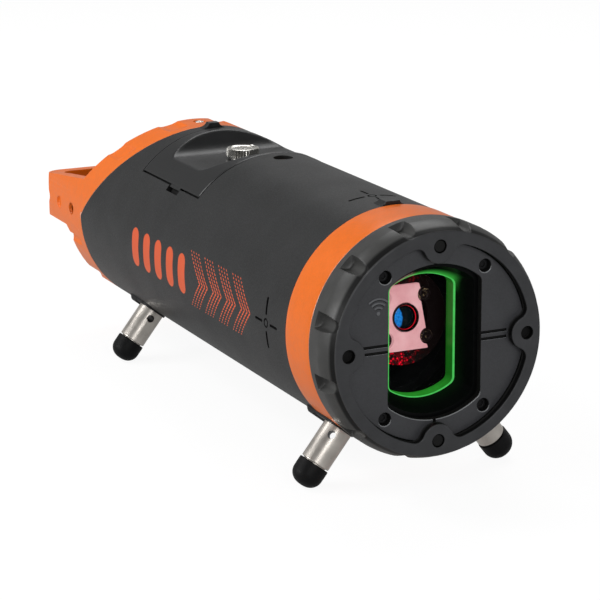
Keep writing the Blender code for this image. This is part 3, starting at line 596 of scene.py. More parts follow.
def printed_paint():
    """The tube's dark powder coat, with generic printed bars and a dotted arrow pattern."""
    dark = (0.022, 0.0225, 0.023)
    ink = (0.78, 0.110, 0.028)
    s = Surface("tube_powder_coat", dark, 0.46, sheen=0.26)
    specks = s.ramp(s.noise(0.75, 1), 0.40, 0.72)
    tone = s.math("MULTIPLY_ADD", specks, 0.6, s.times(s.patches(30, 2), 0.4))
    coat = s.mix(tone, scaled(dark, 0.72), scaled(dark, 1.35))
    across, along, up = s.axis("X"), s.axis("Y"), s.axis("Z")
    around = s.times(s.math("ARCTAN2", up, s.math("ABSOLUTE", across)), TUBE_R)
    spread = s.math("ABSOLUTE", around)

    def between(value, low, high):
        above = s.math("GREATER_THAN", value, low)
        return s.times(above, s.math("LESS_THAN", value, high))

    def off_centre(value, pitch):
        cell = s.math("FRACT", s.math("DIVIDE", value, pitch))
        return s.times(s.math("SUBTRACT", cell, 0.5), pitch)

    def spot(radius, distance):
        return s.ramp(s.math("SUBTRACT", radius, distance), -0.05, 0.05)

    arrows = 4
    arrow_tip = 93.5
    arrow_pitch = 18.9
    arrow_wide = 14
    arrow_reach = 16.2
    arrow_lean = 1.02
    dot_pitch = 1.8
    run = s.math("SUBTRACT", along, s.math("MULTIPLY_ADD", spread, arrow_lean, arrow_tip))
    row = s.math("FLOORED_MODULO", run, arrow_pitch)
    dx = off_centre(row, arrow_wide / 4)
    thick = s.ramp(spread, 0, 16, 1, 0)
    dy = s.times(off_centre(around, dot_pitch), s.ramp(thick, 0, 1, 1, 0.90))
    dot = spot(s.ramp(thick, 0, 1, 0.50, 0.82), s.length(dx, dy))
    zone = s.times(between(run, 0, arrow_pitch * arrows - 0.5),
                   between(around, -arrow_reach, arrow_reach))
    pattern = s.times(dot, s.times(zone, s.math("LESS_THAN", row, arrow_wide)))

    bars = 5
    bar_first = 180.5
    bar_pitch = 17.4
    bar_half = 6.6
    bar_r = 4.9
    lx = off_centre(s.math("SUBTRACT", along, bar_first), bar_pitch)
    ly = s.math("MAXIMUM", s.math("SUBTRACT", spread, bar_half), 0)
    bar = s.times(spot(bar_r, s.length(lx, ly)),
                  between(along, bar_first, bar_first + bars * bar_pitch))

    outside = s.math("GREATER_THAN", s.length(across, up), TUBE_R - 0.2)
    mask = s.times(s.math("MAXIMUM", pattern, bar), outside)
    s.colour(mask, coat, ink)
    s.roughness(s.math("MULTIPLY_ADD", mask, -0.05, s.ramp(tone, 0, 1, 0.50, 0.40)))
    s.bump(s.noise(0.85), 0.55, 0.07)
    return s


def ring_glow():
    """The lit green ring: brightest on its front rim and deeper green down its bore."""
    s = Surface("ring_light", (0.01, 0.08, 0.01), 0.30, sheen=0.2)
    depth = s.ramp(s.axis("Y"), RING_START + 0.3, RING_START + 0.9)
    streaks = s.patches(2.2, 2, 0.88, 1.12)
    s.colour(depth, (0.02, 0.10, 0.02), (0.004, 0.05, 0.003))
    low = s.ramp(s.axis("Z"), -24, -30)
    bore = s.mix(low, (0.006, 0.085, 0.006), (0.016, 0.20, 0.016))
    node = s.node("VectorMath")
    node.operation = "SCALE"
    s.link(s.mix(depth, (0.055, 0.46, 0.085), bore), node.inputs[0])
    s.link(streaks, node.inputs["Scale"])
    s.link(node.outputs[0], s.shader.inputs["Emission Color"])
    s.set("Emission Strength", 1)
    return s


def clear_window():
    """Thin anti-glare glass with a faint smear."""
    s = Surface("window_clear", (0.015, 0.02, 0.02), 0.03, sheen=0.15)
    s.set("Alpha", 0.05)
    s.roughness(s.patches(12, 3, 0.02, 0.07))
    return s


def bumper_moulding():
    """Moulded rubber: satin on the flat ring, with painted shade on the sloping edge."""
    s = moulded("bumper_rubber", grey(0.03), 0.42, grain=0.55, relief=0.035, mottle=0.2,
                spread=0.06)
    patches = s.patches(9)
    run = s.axis("Y")
    # Painted shade: the sloping edge is made near black and less glossy.
    slope = s.times(s.ramp(run, 0.35, 0.8), s.ramp(run, 2.8, 4.4, 1, 0))
    flat = s.ramp(run, 0.2, 0.6, 1, 0)
    side = s.mix(patches, (0.032, 0.032, 0.031), (0.046, 0.046, 0.044))
    face = s.mix(patches, (0.038, 0.039, 0.042), (0.050, 0.051, 0.055))
    s.colour(slope, s.mix(flat, side, face), grey(0.006))
    s.link(s.ramp(slope, 0, 1, 0.42, 0.12), s.shader.inputs["Specular IOR Level"])
    return s


def tunnel_gloss():
    """Gloss black that picks up green light close to the ring, most of all overhead."""
    s = moulded("gloss_tunnel", (0.003, 0.0035, 0.0035), 0.30, grain=2, relief=0.004,
                spread=0.04, sheen=0.07)
    near = s.math("POWER", s.ramp(s.axis("Y"), RING_START - 7, RING_START), 1.5)
    middle = s.ramp(s.math("ABSOLUTE", s.axis("X")), 16.5, 20.5, 1, 0)
    ceiling = s.times(middle, s.ramp(s.axis("Z"), 20, 27))
    overhead = s.math("MULTIPLY_ADD", ceiling, 0.75, 0.012)
    s.glow(s.times(near, overhead), grey(0), (0.05, 0.50, 0.06))
    return s


def coated_lens():
    """Dark glass with a blue coating that takes the light from one side."""
    s = Surface("lens_coating", (0.004, 0.010, 0.02), 0.06, sheen=0.10)
    curve = s.times(s.math("POWER", s.axis("Z"), 2), 0.05)
    across = s.math("MULTIPLY_ADD", s.noise(1.8), 1.1, s.math("ADD", s.axis("X"), curve))
    glare = s.ramp(across, -0.9, -0.3, 1, 0)
    patches = s.ramp(s.noise(0.9, 3), 0.38, 0.62)
    s.colour(glare, (0.002, 0.004, 0.006), (0.01, 0.10, 0.30))
    blue = s.mix(patches, (0.003, 0.10, 0.38), (0.012, 0.27, 0.80))
    s.glow(glare, (0, 0.002, 0.003), blue, 0.85)
    return s


def scattered_red():
    """The laser light scattered over the head's flange as red specks."""
    s = Surface("scattered_light", (0.002, 0.001, 0.0015), 0.45, sheen=0.1)
    specks = s.ramp(s.cells(1.5), 0.14, 0.46, 1, 0)
    cloud = s.ramp(s.noise(2.6), 0.42, 0.58)
    height = s.axis("Z")
    ends = s.math("MAXIMUM", s.ramp(height, -15, -19), s.ramp(height, 15, 19, 0, 0.30))
    fade = s.ramp(s.axis("X"), -3, 13, 1, 0.03)
    light = s.math("MULTIPLY_ADD", specks, cloud, s.times(cloud, 0.06))
    s.glow(s.times(light, s.times(ends, fade)), (0.001, 0, 0), (0.95, 0, 0.02), 1.3)
    return s


def lit_screen():
    """A dark backlit display."""
    s = Surface("display_screen", (0.010, 0.022, 0.026), 0.10)
    s.colour(s.patches(0.5, 0), (0.008, 0.018, 0.022), (0.013, 0.028, 0.034))
    fall = s.ramp(s.axis("Y"), 20, 64)
    s.glow(fall, (0.004, 0.020, 0.026), (0.008, 0.038, 0.050))
    s.set("Coat Weight", 0.6)
    return s


def lit_rim():
    """The aperture's rim, lit red and brightest on the side away from the coating."""
    s = Surface("red_rim", (0.10, 0.002, 0.004), 0.35)
    across = s.math("MULTIPLY_ADD", s.axis("Z"), -0.5, s.axis("X"))
    side = s.ramp(across, -5, 5, 0.12, 0.9)
    s.glow(s.times(side, s.patches(2.5, 2, 0.75, 1.15)), grey(0), (1, 0.003, 0.02))
    return s


def glinting_bolt():
    """Dark screw heads that catch small golden glints."""
    s = Surface("head_bolt_steel", (0.012, 0.006, 0.007), 0.30, 0.5, sheen=0.2)
    spots = s.times(s.ramp(s.cells(0.9), 0.10, 0.30, 1, 0),
                    s.ramp(s.noise(2.4, 1), 0.50, 0.60))
    s.colour(spots, (0.010, 0.005, 0.006), (0.30, 0.20, 0.10))
    s.glow(spots, (0.003, 0.001, 0.001), (0.95, 0.70, 0.40), 0.8)
    return s


def display_ink():
    """Small lit marks."""
    colour = (0.30, 0.85, 0.95)
    s = Surface("display_marks", colour, 0.4)
    s.glow(s.noise(3, 1), scaled(colour, 0.9), scaled(colour, 1.1), 1.2)
    return s


def head_satin():
    """The head's satin plate, lit pink by the laser."""
    s = moulded("head_plate_satin", (0.62, 0.34, 0.36), 0.42, 0.2, grain=0.4, relief=0.006,
                mottle=0.08, patch=5)
    s.glow(s.patches(7), (0.80, 0.32, 0.36), (0.98, 0.52, 0.55), 0.60)
    return s


def make_looks():
    """Every look by a short name: its slot and its material."""
    table = {
        "tube": ("paint_black", printed_paint()),
        "bumper": ("moulded_black", bumper_moulding()),
        "plate": ("moulded_black", moulded(
            "face_plate_plastic", (0.048, 0.049, 0.054), 0.38, grain=0.45, relief=0.022,
            mottle=0.16, spread=0.06, sheen=0.5)),
        # The raised signal mark is painted a lighter grey than the plate, as highlight.
        "mark": ("moulded_black", moulded(
            "mark_highlight_plastic", (0.15, 0.155, 0.165), 0.34, grain=0.45, relief=0.01, mottle=0.1,
            spread=0.05, sheen=0.5)),
        "door": ("moulded_black", moulded(
            "door_plastic", (0.008, 0.0085, 0.009), 0.36, grain=0.5, relief=0.02, mottle=0.2,
            spread=0.05, sheen=0.40)),
        "boss": ("moulded_black", moulded(
            "boss_plastic", (0.010, 0.010, 0.0105), 0.45, grain=0.6, relief=0.03, mottle=0.2,
            sheen=0.3)),
        # Near black: painted shade in holes, recesses and grooves, and the real black of the
        # tube's cross marks.
        "dark_recess": ("moulded_black", moulded(
            "recess_shade_and_black_ink", grey(0.002), 0.8, relief=0.02)),
        # Light grey painted as the highlight on the face plate's upward-facing bevels.
        "painted_edge_highlight": ("moulded_black", moulded(
            "painted_edge_highlight_plastic", (0.30, 0.31, 0.32), 0.24, grain=0.5, relief=0.005,
            mottle=0.12)),
        "rubber": ("rubber_black", moulded(
            "foot_rubber", (0.004, 0.004, 0.0045), 0.50, grain=0.9, sheen=0.15)),
        "key": ("rubber_black", moulded(
            "key_rubber", (0.016, 0.016, 0.018), 0.55, grain=0.5, relief=0.03)),
        "legend": ("rubber_black", moulded(
            "key_legend", (0.72, 0.72, 0.70), 0.5, grain=0.4, relief=0.01, mottle=0.08)),
        "gloss": ("gloss_black", moulded(
            "gloss_black", (0.004, 0.0045, 0.0045), 0.24, grain=2, relief=0.004, spread=0.04,
            sheen=0.2)),
        "tunnel": ("gloss_black", tunnel_gloss()),
        "red": ("gloss_black", lit_rim()),
        "orange": ("paint_orange", moulded(
            "orange_coat", (0.92, 0.172, 0.003), 0.34, grain=0.9, relief=0.10, mottle=0.05,
            spread=0.06, patch=6, sheen=0.36)),
        # Pale orange painted as the highlight on the rounded edges of the band and the cap.
        "orange_edge_highlight": ("paint_orange", moulded(
            "orange_painted_highlight_coat", (0.95, 0.42, 0.28), 0.25, grain=0.9, relief=0.01, mottle=0.06,
            sheen=0.8)),
        "nickel": ("nickel", brushed(
            "leg_nickel", (0.64, 0.60, 0.55), 0.33, (16, 16, 1), 0.8, 0.0005)),
        "bright": ("nickel", brushed(
            "knob_bright", (0.80, 0.78, 0.73), 0.22, (1, 1, 6), 0.4)),
        "steel": ("dark_steel", brushed(
            "screw_steel", (0.16, 0.16, 0.17), 0.34, (1, 6, 1))),
        # Near-black steel: the sunk bolts' own dark heads, made near black as painted shade in
        # their recesses, and painted shade inside the legs' cross holes.
        "sunk_bolt": ("dark_steel", moulded(
            "bolt_steel_and_hole_shade", (0.012, 0.012, 0.013), 0.4, 0.6, grain=0.4, relief=0.004)),
        "head_bolt": ("dark_steel", glinting_bolt()),
        "brass": ("brass", brushed("insert_brass", (0.75, 0.45, 0.18), 0.30, (1, 1, 8))),
        "anodised": ("anodised", moulded(
            "anodised_black", (0.03, 0.03, 0.034), 0.38, 0.7, grain=0.5, relief=0.008)),
        "scatter": ("anodised", scattered_red()),
        "satin": ("plate_satin", head_satin()),
        "circuit": ("circuit", moulded(
            "board_green", (0.02, 0.12, 0.05), 0.45, grain=1.5, relief=0.03)),
        "ring": ("green_light", ring_glow()),
        "glass": ("clear_glass", clear_window()),
        "lens": ("lens_blue", coated_lens()),
        "screen": ("screen", lit_screen()),
        "digits": ("screen", display_ink()),
    }
    return {name: (slot, surface.material) for name, (slot, surface) in table.items()}


LOOK = make_looks()


# ---------------------------------------------------------------- front end
def lobed_outline():
    """The bumper's opening: a circle with four lobes blended into it."""
    reach = LIP_R - LOBE_BLEND
    joined = LOBE_R + LOBE_BLEND
    swing = acos((reach ** 2 + LOBE_AT ** 2 - joined ** 2) / (2 * reach * LOBE_AT))
    corner = (reach * cos(swing), reach * sin(swing))
    facing = degrees(atan2(corner[1], LOBE_AT - corner[0]))
    phi = degrees(swing)
    one = arc(LOBE_BLEND, -phi, facing, 10, (corner[0], -corner[1]))
    one += arc(LOBE_R, 180 + facing, 180 - facing, 20, (LOBE_AT, 0))[1:-1]
    one += arc(LOBE_BLEND, -facing, phi, 10, corner)
    one += arc(LIP_R, phi, 90 - phi, 34)[1:-1]
    points = []
    for k in range(4):
        c, s = cos(pi / 2 * k), sin(pi / 2 * k)
        points += [(x * c - z * s, x * s + z * c) for x, z in one]
    return points


NOTCH_STEPS = (0.9, 1.8, 2.6, 3.2, 3.6, 3.9, 4.25, NOTCH_HALF, 4.8, 5.2, 6.6, 9, 11.4, 13.8)
NOTCH_OFFSETS = [-s for s in reversed(NOTCH_STEPS)] + [0, *NOTCH_STEPS]


def notch_columns(radius, growth=1):
    """Columns round a ring, closer together across each notch: (angle, offset, notch)."""
    columns = []
    for k in range(NOTCH_COUNT):
        middle = tau * (k + 0.5) / NOTCH_COUNT
        for offset in NOTCH_OFFSETS:
            wide = offset * growth if abs(offset) < NOTCH_SPAN else offset
            columns.append((middle + wide / radius, wide, k))
    return columns


def notch_reach(offset, run):
    """How deep a grip notch is, from 0 to 1, across it and along it."""
    past = max(run - (NOTCH_LEN - NOTCH_END), 0) / NOTCH_END
    wall = max(1 - past ** 2, 0)
    return max(1 - abs(offset / NOTCH_HALF) ** 3, 0) * wall


def build_bumper():
    """The moulded bumper with its grip notches, lobes, pins and holes."""
    profile = [(BUMPER_FACE_R, 0), (57.5, 0.06), (57.78, 0.25), (58, SLOPE_START)]
    for share in (k / 20 for k in range(1, 21)):
        swell = BUMPER_R - SLOPE_DROP * (1 - share) ** 1.6
        profile.append((swell, SLOPE_START + SLOPE_LEN * share))
    profile += [(BUMPER_R, SLOPE_START + SLOPE_LEN + 0.4 * k) for k in range(1, 25)]
    profile += [(61.72, 22), (61.5, 22.3), (61.1, BUMPER_LEN)]
    columns = notch_columns(BUMPER_R)
    rows = []
    for radius, station in profile:
        row = []
        for turn, offset, _ in columns:
            floor = BUMPER_R - NOTCH_DEPTH * notch_reach(offset, station)
            row.append(polar(min(radius, floor), turn, station))
        rows.append(row)
    for station in (BUMPER_LEN, LIP_T):
        rows.append([polar(BUMPER_BORE, turn, station) for turn, _, _ in columns])
    bm = bmesh.new()
    shell = skin(bm, rows)

    mouth = lobed_outline()
    lip = skin(bm, stack(edge_rows(mouth, 0, 0.55, 1, -1, 4) + [(mouth, LIP_T)]))
    openings = []
    for k, centre in enumerate(circle(LOBE_AT, 4)):
        upright = k % 2
        hole = circle(PIN_HOLE_R, 40, centre)
        deep = 2.2 if upright else LIP_T - 0.2
        made = skin(bm, stack(edge_rows(hole, 0, 0.35, 1, -1) + [(hole, deep)]))
        # The side holes' bottoms are painted near black as shade.
        bm.faces.new(made[-1]).material_index = 1 - upright
        openings.append(made[0])
    fill(bm, shell[0], lip[0], *openings)
    fill(bm, shell[-1], lip[-1])
    dress(solid("bumper_shell", bm), ["bumper", "dark_recess"], "front_bumper", sharp=38)

    pin = [(PIN_R - 0.5, 0.75), (PIN_R - 0.2, 0.82), (PIN_R, 1.05), (PIN_R, 2.15)]
    for name, z in (("top", LOBE_AT), ("bottom", -LOBE_AT)):
        item = drawn("pin_" + name, turned, pin, 48, "Y", (0, z))
        dress(item, "bumper", "bumper_pin_" + name)


def build_band():
    """The orange band between the bumper and the tube."""
    front = eased(BAND_R, BAND_START, 0.6, 5)
    back = eased(BAND_R, BAND_END, 0.6, 5, -1)[::-1]
    middle = [(BAND_R, BAND_START + 7 * k) for k in range(1, 4)]
    profile = [(TUBE_BORE, BAND_START), *front, *middle, *back, (TUBE_BORE, BAND_END)]
    band = drawn("band_ring", lathe, profile, FINE)
    # The band's rounded ends take the pale orange as a painted highlight.
    mark_faces(band, lambda p, n: hypot(p.x, p.z) > BAND_R - 0.5
               and not BAND_START + 0.5 < p.y < BAND_END - 0.5)
    dress(band, ["orange", "orange_edge_highlight"], "orange_band", weighted=False)


def build_face():
    """Face plate with window, drains and screw recesses, and a raised generic signal mark."""
    spots = {name: arc(SCREW_PITCH_R, angle, angle, 1)[0] for name, angle in SCREWS.items()}
    holes = [barrel(*WINDOW)] + [circle(PIN_HOLE_R, 40, spot) for spot in spots.values()]
    face = drawn("face_moulding", plate, circle(PLATE_R, FINE), holes, PLATE_FRONT, PLATE_REAR,
                 "Y", 0.4, 0.2)
    bm = bmesh.new()
    for side in (-1, 1):
        low, high = sorted((side * 24, side * 40.9))
        for z in (-1.7, 1.7):
            block(bm, (low, 2, z - 0.75), (high, PLATE_FRONT + 1.3, z + 0.75))
        low, high = sorted((side * 38, side * 41.8))
        block(bm, (-0.9, 2, low), (0.9, PLATE_FRONT + 1.6, high))
    carve(face, solid("tool_drains", bm))
    soften_where(face, 0.32, lambda p: p.y < PLATE_FRONT + 0.05 and (
        (abs(p.z) < 3 and 26 < abs(p.x) < 41.2) or (abs(p.x) < 1.2 and 39.5 < abs(p.z) < 42)))

    # Painted shade: the window's walls, the screw recesses and the drains are made near black.
    def darkened(p, _):
        if p.y < PLATE_FRONT + 0.45:
            return False
        inside = hypot(p.x, p.z) < WINDOW[0] + 0.1 and abs(p.x) < WINDOW[1] + 0.1
        near = any(dist((p.x, p.z), spot) < SCREW_HOLE_EDGE for spot in spots.values())
        groove = p.y < PLATE_FRONT + 1.7 and (abs(p.z) < 2.6 or abs(p.x) < 1)
        return inside or near or groove

    mark_faces(face, darkened)
    # Painted highlight: the front bevel faces that point upwards take the light grey.
    mark_faces(face, lambda p, n: abs(p.y - PLATE_FRONT - 0.2) < 0.19 and n.z > 0.12
               and hypot(p.x, p.z) < PLATE_R - 1, 2)
    dress(face, ["plate", "dark_recess", "painted_edge_highlight"], "face_plate", sharp=40)

    # The raised arcs take the lighter grey as painted highlight, and a near-black strip under each
    # arc is painted shadow.
    raised, shade = bmesh.new(), bmesh.new()
    top = PLATE_FRONT + 0.1
    turned(raised, [(0.9, PLATE_FRONT - 0.34), (1.1, top)], 20, "Y", SIGNAL_AT)
    for r in (3, 5.2, 7.4):
        wave = ring_part(r + 0.5, r - 0.5, 46, 134, 22, SIGNAL_AT)
        plate(raised, wave, [], PLATE_FRONT - 0.36, top, "Y", 0.3, 0)
        under = ring_part(r - 0.49, r - 0.87, 46, 134, 22, SIGNAL_AT)
        plate(shade, under, [], PLATE_FRONT - 0.05, top, "Y", 0, 0)
    dress(solid("signal_mark", raised), "mark")
    dress(solid("signal_shade", shade), "dark_recess")

    for name, spot in spots.items():
        bm = bmesh.new()
        plate(bm, circle(2.95, 40, spot), [circle(1.4, 6, spot)], 7.4, 8.6, "Y", 0.35, 0)
        turned(bm, [(1.6, 8.1), (1.6, 8.5)], 20, "Y", spot)
        dress(solid("face_bolt_" + name, bm), "sunk_bolt", "face_screw_" + name)


def between_shapes(a, b, share):
    """A barrel outline's numbers part of the way from one to another."""
    return tuple(p + (q - p) * share for p, q in zip(a, b))


def build_window():
    """Gloss tunnel behind the window, the green light ring and the glass."""
    start = PLATE_REAR + 0.1
    end = RING_START - 0.45
    mouth = between_shapes(WINDOW, THROAT, (start - PLATE_FRONT) / (RING_START - PLATE_FRONT))
    pocket = (RING_OUTER[0] + 0.3, RING_OUTER[1] + 0.3, RING_OUTER[2])
    rows = []
    for share in (k / 6 for k in range(7)):
        rows.append((barrel(*between_shapes(mouth, THROAT, share)), start + (end - start) * share))
    seat = RING_START - 0.05
    rows += [(barrel(*THROAT), seat), (barrel(*pocket), seat), (barrel(*pocket), HOOD_REAR)]
    bm = bmesh.new()
    tunnel = skin(bm, stack(rows))
    outer = skin(bm, stack([(circle(51.2, FINE), h) for h in (start, HOOD_REAR)]))
    fill(bm, outer[0], tunnel[0])
    fill(bm, outer[-1], tunnel[-1])
    dress(solid("window_tunnel", bm), "tunnel", "window_hood", sharp=30)

    ease = 0.45
    rows = [(barrel(*RING_OUTER), RING_END), (barrel(*RING_OUTER), RING_START)]
    for inwards, station in eased(ease, RING_START, ease, 4):
        grown = (size + ease - inwards for size in RING_BORE)
        rows.append((barrel(*grown), station))
    rows += [(barrel(*RING_BORE), h) for h in (RING_START + 3, RING_START + 5.5, RING_END)]
    bm = bmesh.new()
    skin(bm, stack(rows), close=True)
    dress(solid("green_ring", bm), "ring", "light_ring", sharp=40)

    pane = drawn("window_pane", plate, barrel(*GLASS), [], 24.3, 26.8, "Y", 0.25, 0.25)
    dress(pane, "glass", "window_glass")


# ---------------------------------------------------------------- main tube
def rear_wedge(station):
    """A cutter for what lies behind the rear plane: upright below the axis, 45 degrees above."""
    reach, top = 60, 80
    outline = [(station, -top), (station + reach, -top), (station + reach, top),
               (station - top, top), (station, 0)]
    return drawn("tool_rear_wedge", prism, outline, -90, 90, "X")


def stroke(bm, centre, direction, across, out, half):
    """One round-ended groove of a cross mark."""
    start, end = 5.2, 12.8
    line = [(start, -half), (end, -half), *arc(half, -90, 90, 5, (end, 0))[1:-1],
            (end, half), (start, half), *arc(half, 90, 270, 5, (start, 0))[1:-1]]
    capped(bm, [[centre + direction * a + across * b + out * level for a, b in line]
                for level in (-2.3, 3)])


def build_tube():
    """The powder-coated tube with its door opening, cross marks and top thread."""
    end = TUBE_REAR + 4
    profile = [(TUBE_BORE, TUBE_FRONT), *eased(TUBE_R, TUBE_FRONT, 0.5, 4), (TUBE_R, end),
               (TUBE_BORE, end)]
    tube = drawn("tube_shell", lathe, profile, FINE)
    carve(tube, rear_wedge(TUBE_REAR))

    rebate = drawn("tool_rebate", sector, 58.9, 70, 90, DOOR_ANGLE + 1.1, DOOR_FRONT - 1,
                   DOOR_REAR + 0.45, 120)
    door_hole = drawn("tool_door_hole", block, (-36, 204.5, 40), (36, 277.5, 70))
    top_hole = drawn("tool_top_hole", turned, [(5.6, 50), (5.6, 70)], 48, "Z",
                     (0, TOP_HOLE_Y))
    slots, strokes, rings = bmesh.new(), bmesh.new(), bmesh.new()
    for middle in (90 + DOOR_ANGLE + 1.9, 90 - DOOR_ANGLE - 1.9):
        sector(slots, 58, 70, middle, 2.7, 223.5, 239.5, 8)
    x, y, z = Vector((1, 0, 0)), Vector((0, 1, 0)), Vector((0, 0, 1))
    for out, around in ((z, x), (-x, z), (x, z)):
        spot = out * TUBE_R + y * PIVOT_Y
        for direction, across, half in ((y, around, 0.7), (around, y, 1)):
            for sign in (-1, 1):
                stroke(strokes, spot, direction * sign, across, out, half)
        loops = [[spot + y * a + around * b + out * level for a, b in circle(radius, 32)]
                 for radius, level in ((2.6, -0.8), (2.6, 1.5), (1.6, 1.5), (1.6, -0.8))]
        skin(rings, loops, close=True)
    carve(tube, rebate, door_hole, solid("tool_tab_slots", slots), top_hole,
          solid("tool_cross_marks", strokes), solid("tool_cross_rings", rings))

    # Near black: the cross marks' grooves in their own black ink, and the walls of the door
    # opening, tab slots and top hole as painted shade.
    def darkened(p, _):
        if not TUBE_BORE + 0.05 <= hypot(p.x, p.z) <= TUBE_R - 0.08:
            return False
        return TUBE_FRONT + 6 < p.y < DOOR_REAR + 1 and (p.z > 30 or p.y < 100)

    mark_faces(tube, darkened)
    dress(tube, ["tube", "dark_recess"], "main_tube", sharp=30, radius=TUBE_R)

    profile = [(3, 57), (5, 57), (5.4, 57.5), (5.4, 58.6), (5.1, 58.9), (3.9, 58.9),
               (3.5, 58.6), (3, 58.2)]
    insert = drawn("thread_insert", lathe, profile, 48, "Z", at=moved(TOP_HOLE_Y))
    dress(insert, "brass", "top_insert")


def build_sights():
    """The two low sighting pads on top of the tube, with flared sides."""
    for name, y_low, y_high, half, share, rise in (
        ("front", 51.4, 61.2, 6.8, 0.62, 1.8), ("rear", 282.6, 288.6, 7.2, 0.46, 2.7),
    ):
        foot = rounded([(-half, y_low), (half, y_low), (half, y_high), (-half, y_high)], 0.8)
        rows = [(foot, 56), (foot, 60.5)]
        for t in (k / 8 for k in range(1, 9)):
            inward = 1 - (1 - share) * (1 - (1 - t) ** 1.6)
            lean = 1 - 0.16 * t
            row = [(a * inward, y_low + (b - y_low) * lean) for a, b in foot]
            rows.append((row, 60.8 + (rise + 0.2) * t ** 1.35))
        last, top = rows[-1]
        for bend in (radians(30 * k) for k in range(1, 4)):
            rows.append((inset(last, 0.4 * (1 - cos(bend))), top + 0.3 * sin(bend)))
        pad = drawn("sight_pad_" + name, filled, stack(rows, "Z"))
        under = [(TUBE_R - 0.2, y_low - 9), (TUBE_R - 0.2, y_high + 9)]
        carve(pad, drawn("tool_pad_seat", turned, under, FINE))
        dress(pad, "door", name + "_sight")


# ---------------------------------------------------------------- battery door
def soft_max(a, b, width):
    """The larger of two values, blended where they are close."""
    share = max(width - abs(a - b), 0) / width
    return max(a, b) + share * share * width / 4


def scoop_height(y):
    """Height of the scoop's floor and its two slopes at a station."""
    ahead = FLOOR_Z + (220 - y) * 0.60
    behind = FLOOR_Z + (y - 263.5) * 1.05
    return soft_max(soft_max(FLOOR_Z, ahead, 3.2), behind, 5)


def door_radius(turn, y):
    """Outer radius of the door at an angle from straight up and a station."""
    floor = scoop_height(y) / max(cos(turn), 0.1)
    return -soft_max(-DOOR_R, -floor, 0.9)


def build_door():
    """The battery door: a saddle with a finger scoop and side tabs."""
    columns, lines = 176, 150
    outer, inner = [], []
    for j in range(lines + 1):
        y = DOOR_FRONT + (DOOR_REAR - DOOR_FRONT) * j / lines
        over, under = [], []
        for i in range(columns + 1):
            turn = radians(DOOR_ANGLE * (2 * i / columns - 1))
            edge = min(i, columns - i, j, lines - j)
            r = door_radius(turn, y) - ((0.32, 0.10, 0.02)[edge] if edge < 3 else 0)
            upwards = pi / 2 - turn
            over.append(polar(r, upwards, y))
            under.append(polar(min(59.2, r - 1.9), upwards, y))
        outer.append(over)
        inner.append(under)
    bm = bmesh.new()
    rims = []
    for grid in (skin(bm, outer, wrap=False), skin(bm, inner, wrap=False)):
        rims.append(grid[0] + [row[-1] for row in grid[1:]] + grid[-1][-2::-1]
                    + [row[0] for row in reversed(grid[1:-1])])
    upper, lower = rims
    for k in range(len(upper)):
        bm.faces.new((upper[k - 1], upper[k], lower[k], lower[k - 1]))
    door = solid("door_saddle", bm)
    bm = bmesh.new()
    for middle in (90 + DOOR_ANGLE + 0.6, 90 - DOOR_ANGLE - 0.6):
        sector(bm, 59.3, 60.7, middle, 1.2, 224.6, 238.4, 6)
    carve(door, solid("tool_tabs", bm), operation="UNION")
    dress(door, "door", "battery_door", "door", sharp=48, weighted=False)


def build_knob():
    """The door's ribbed knob. Each level is height, radius and depth of the ribs."""
    top, r = KNOB_TOP, KNOB_R
    levels = [(FLOOR_Z + 0.3, r - 1.5, 0), (FLOOR_Z + 1.1, r - 1.5, 0),
              (FLOOR_Z + 1.4, r - 0.5, 0.3), (FLOOR_Z + 1.9, r, 1), (FLOOR_Z + 3.5, r, 1),
              (top - 1, r, 1), (top - 0.7, r - 0.1, 0.8), (top - 0.45, r - 0.3, 0.2),
              (top - 0.35, r - 0.7, 0), (top - 0.85, r - 1.1, 0), (top - 1.05, r - 2, 0),
              (top - 0.95, 6.4, 0), (top - 0.35, 3.4, 0), (top - 0.1, 1.6, 0),
              (top, 0.6, 0)]
    ribs, around = 36, 144
    rows = []
    for height, radius, flute in levels:
        row = []
        for turn in (tau * k / around for k in range(around)):
            wave = 0.5 - 0.5 * cos(turn * ribs)
            x, _, y = polar(radius - 0.75 * flute * wave ** 0.7, turn, 0)
            row.append((x, y, height))
        rows.append(row)
    knob = drawn("lock_knob", capped, rows, at=moved(KNOB_Y))
    dress(knob, "bright", "door_knob", "door_lock", sharp=50)


# ---------------------------------------------------------------- legs
def leg_matrix(side, station):
    """A leg's frame, with z out along the leg from the beam axis, and the way its y points."""
    turn = radians(LEG_ANGLE)
    out = Vector((side * sin(turn), 0, -cos(turn)))
    across = Vector((-side * cos(turn), 0, -sin(turn)))
    along = out.cross(across)
    basis = Matrix((across, along, out)).transposed().to_4x4()
    return moved(station) @ basis, 1 if along.y > 0 else -1


def boss_height(run, step, reach):
    """Height of a boss's ridge behind its leg: collar, rise, pad and the slope at its end."""
    def blend(low, high):
        t = min(max((run - low) / (high - low), 0), 1)
        return t * t * (3 - 2 * t)

    up = COLLAR_TOP + (BOSS_TOP - COLLAR_TOP) * blend(step - 0.4, step + 1.2)
    return up - (BOSS_TOP - BOSS_TOE) * blend(reach - BOSS_RAMP, reach)


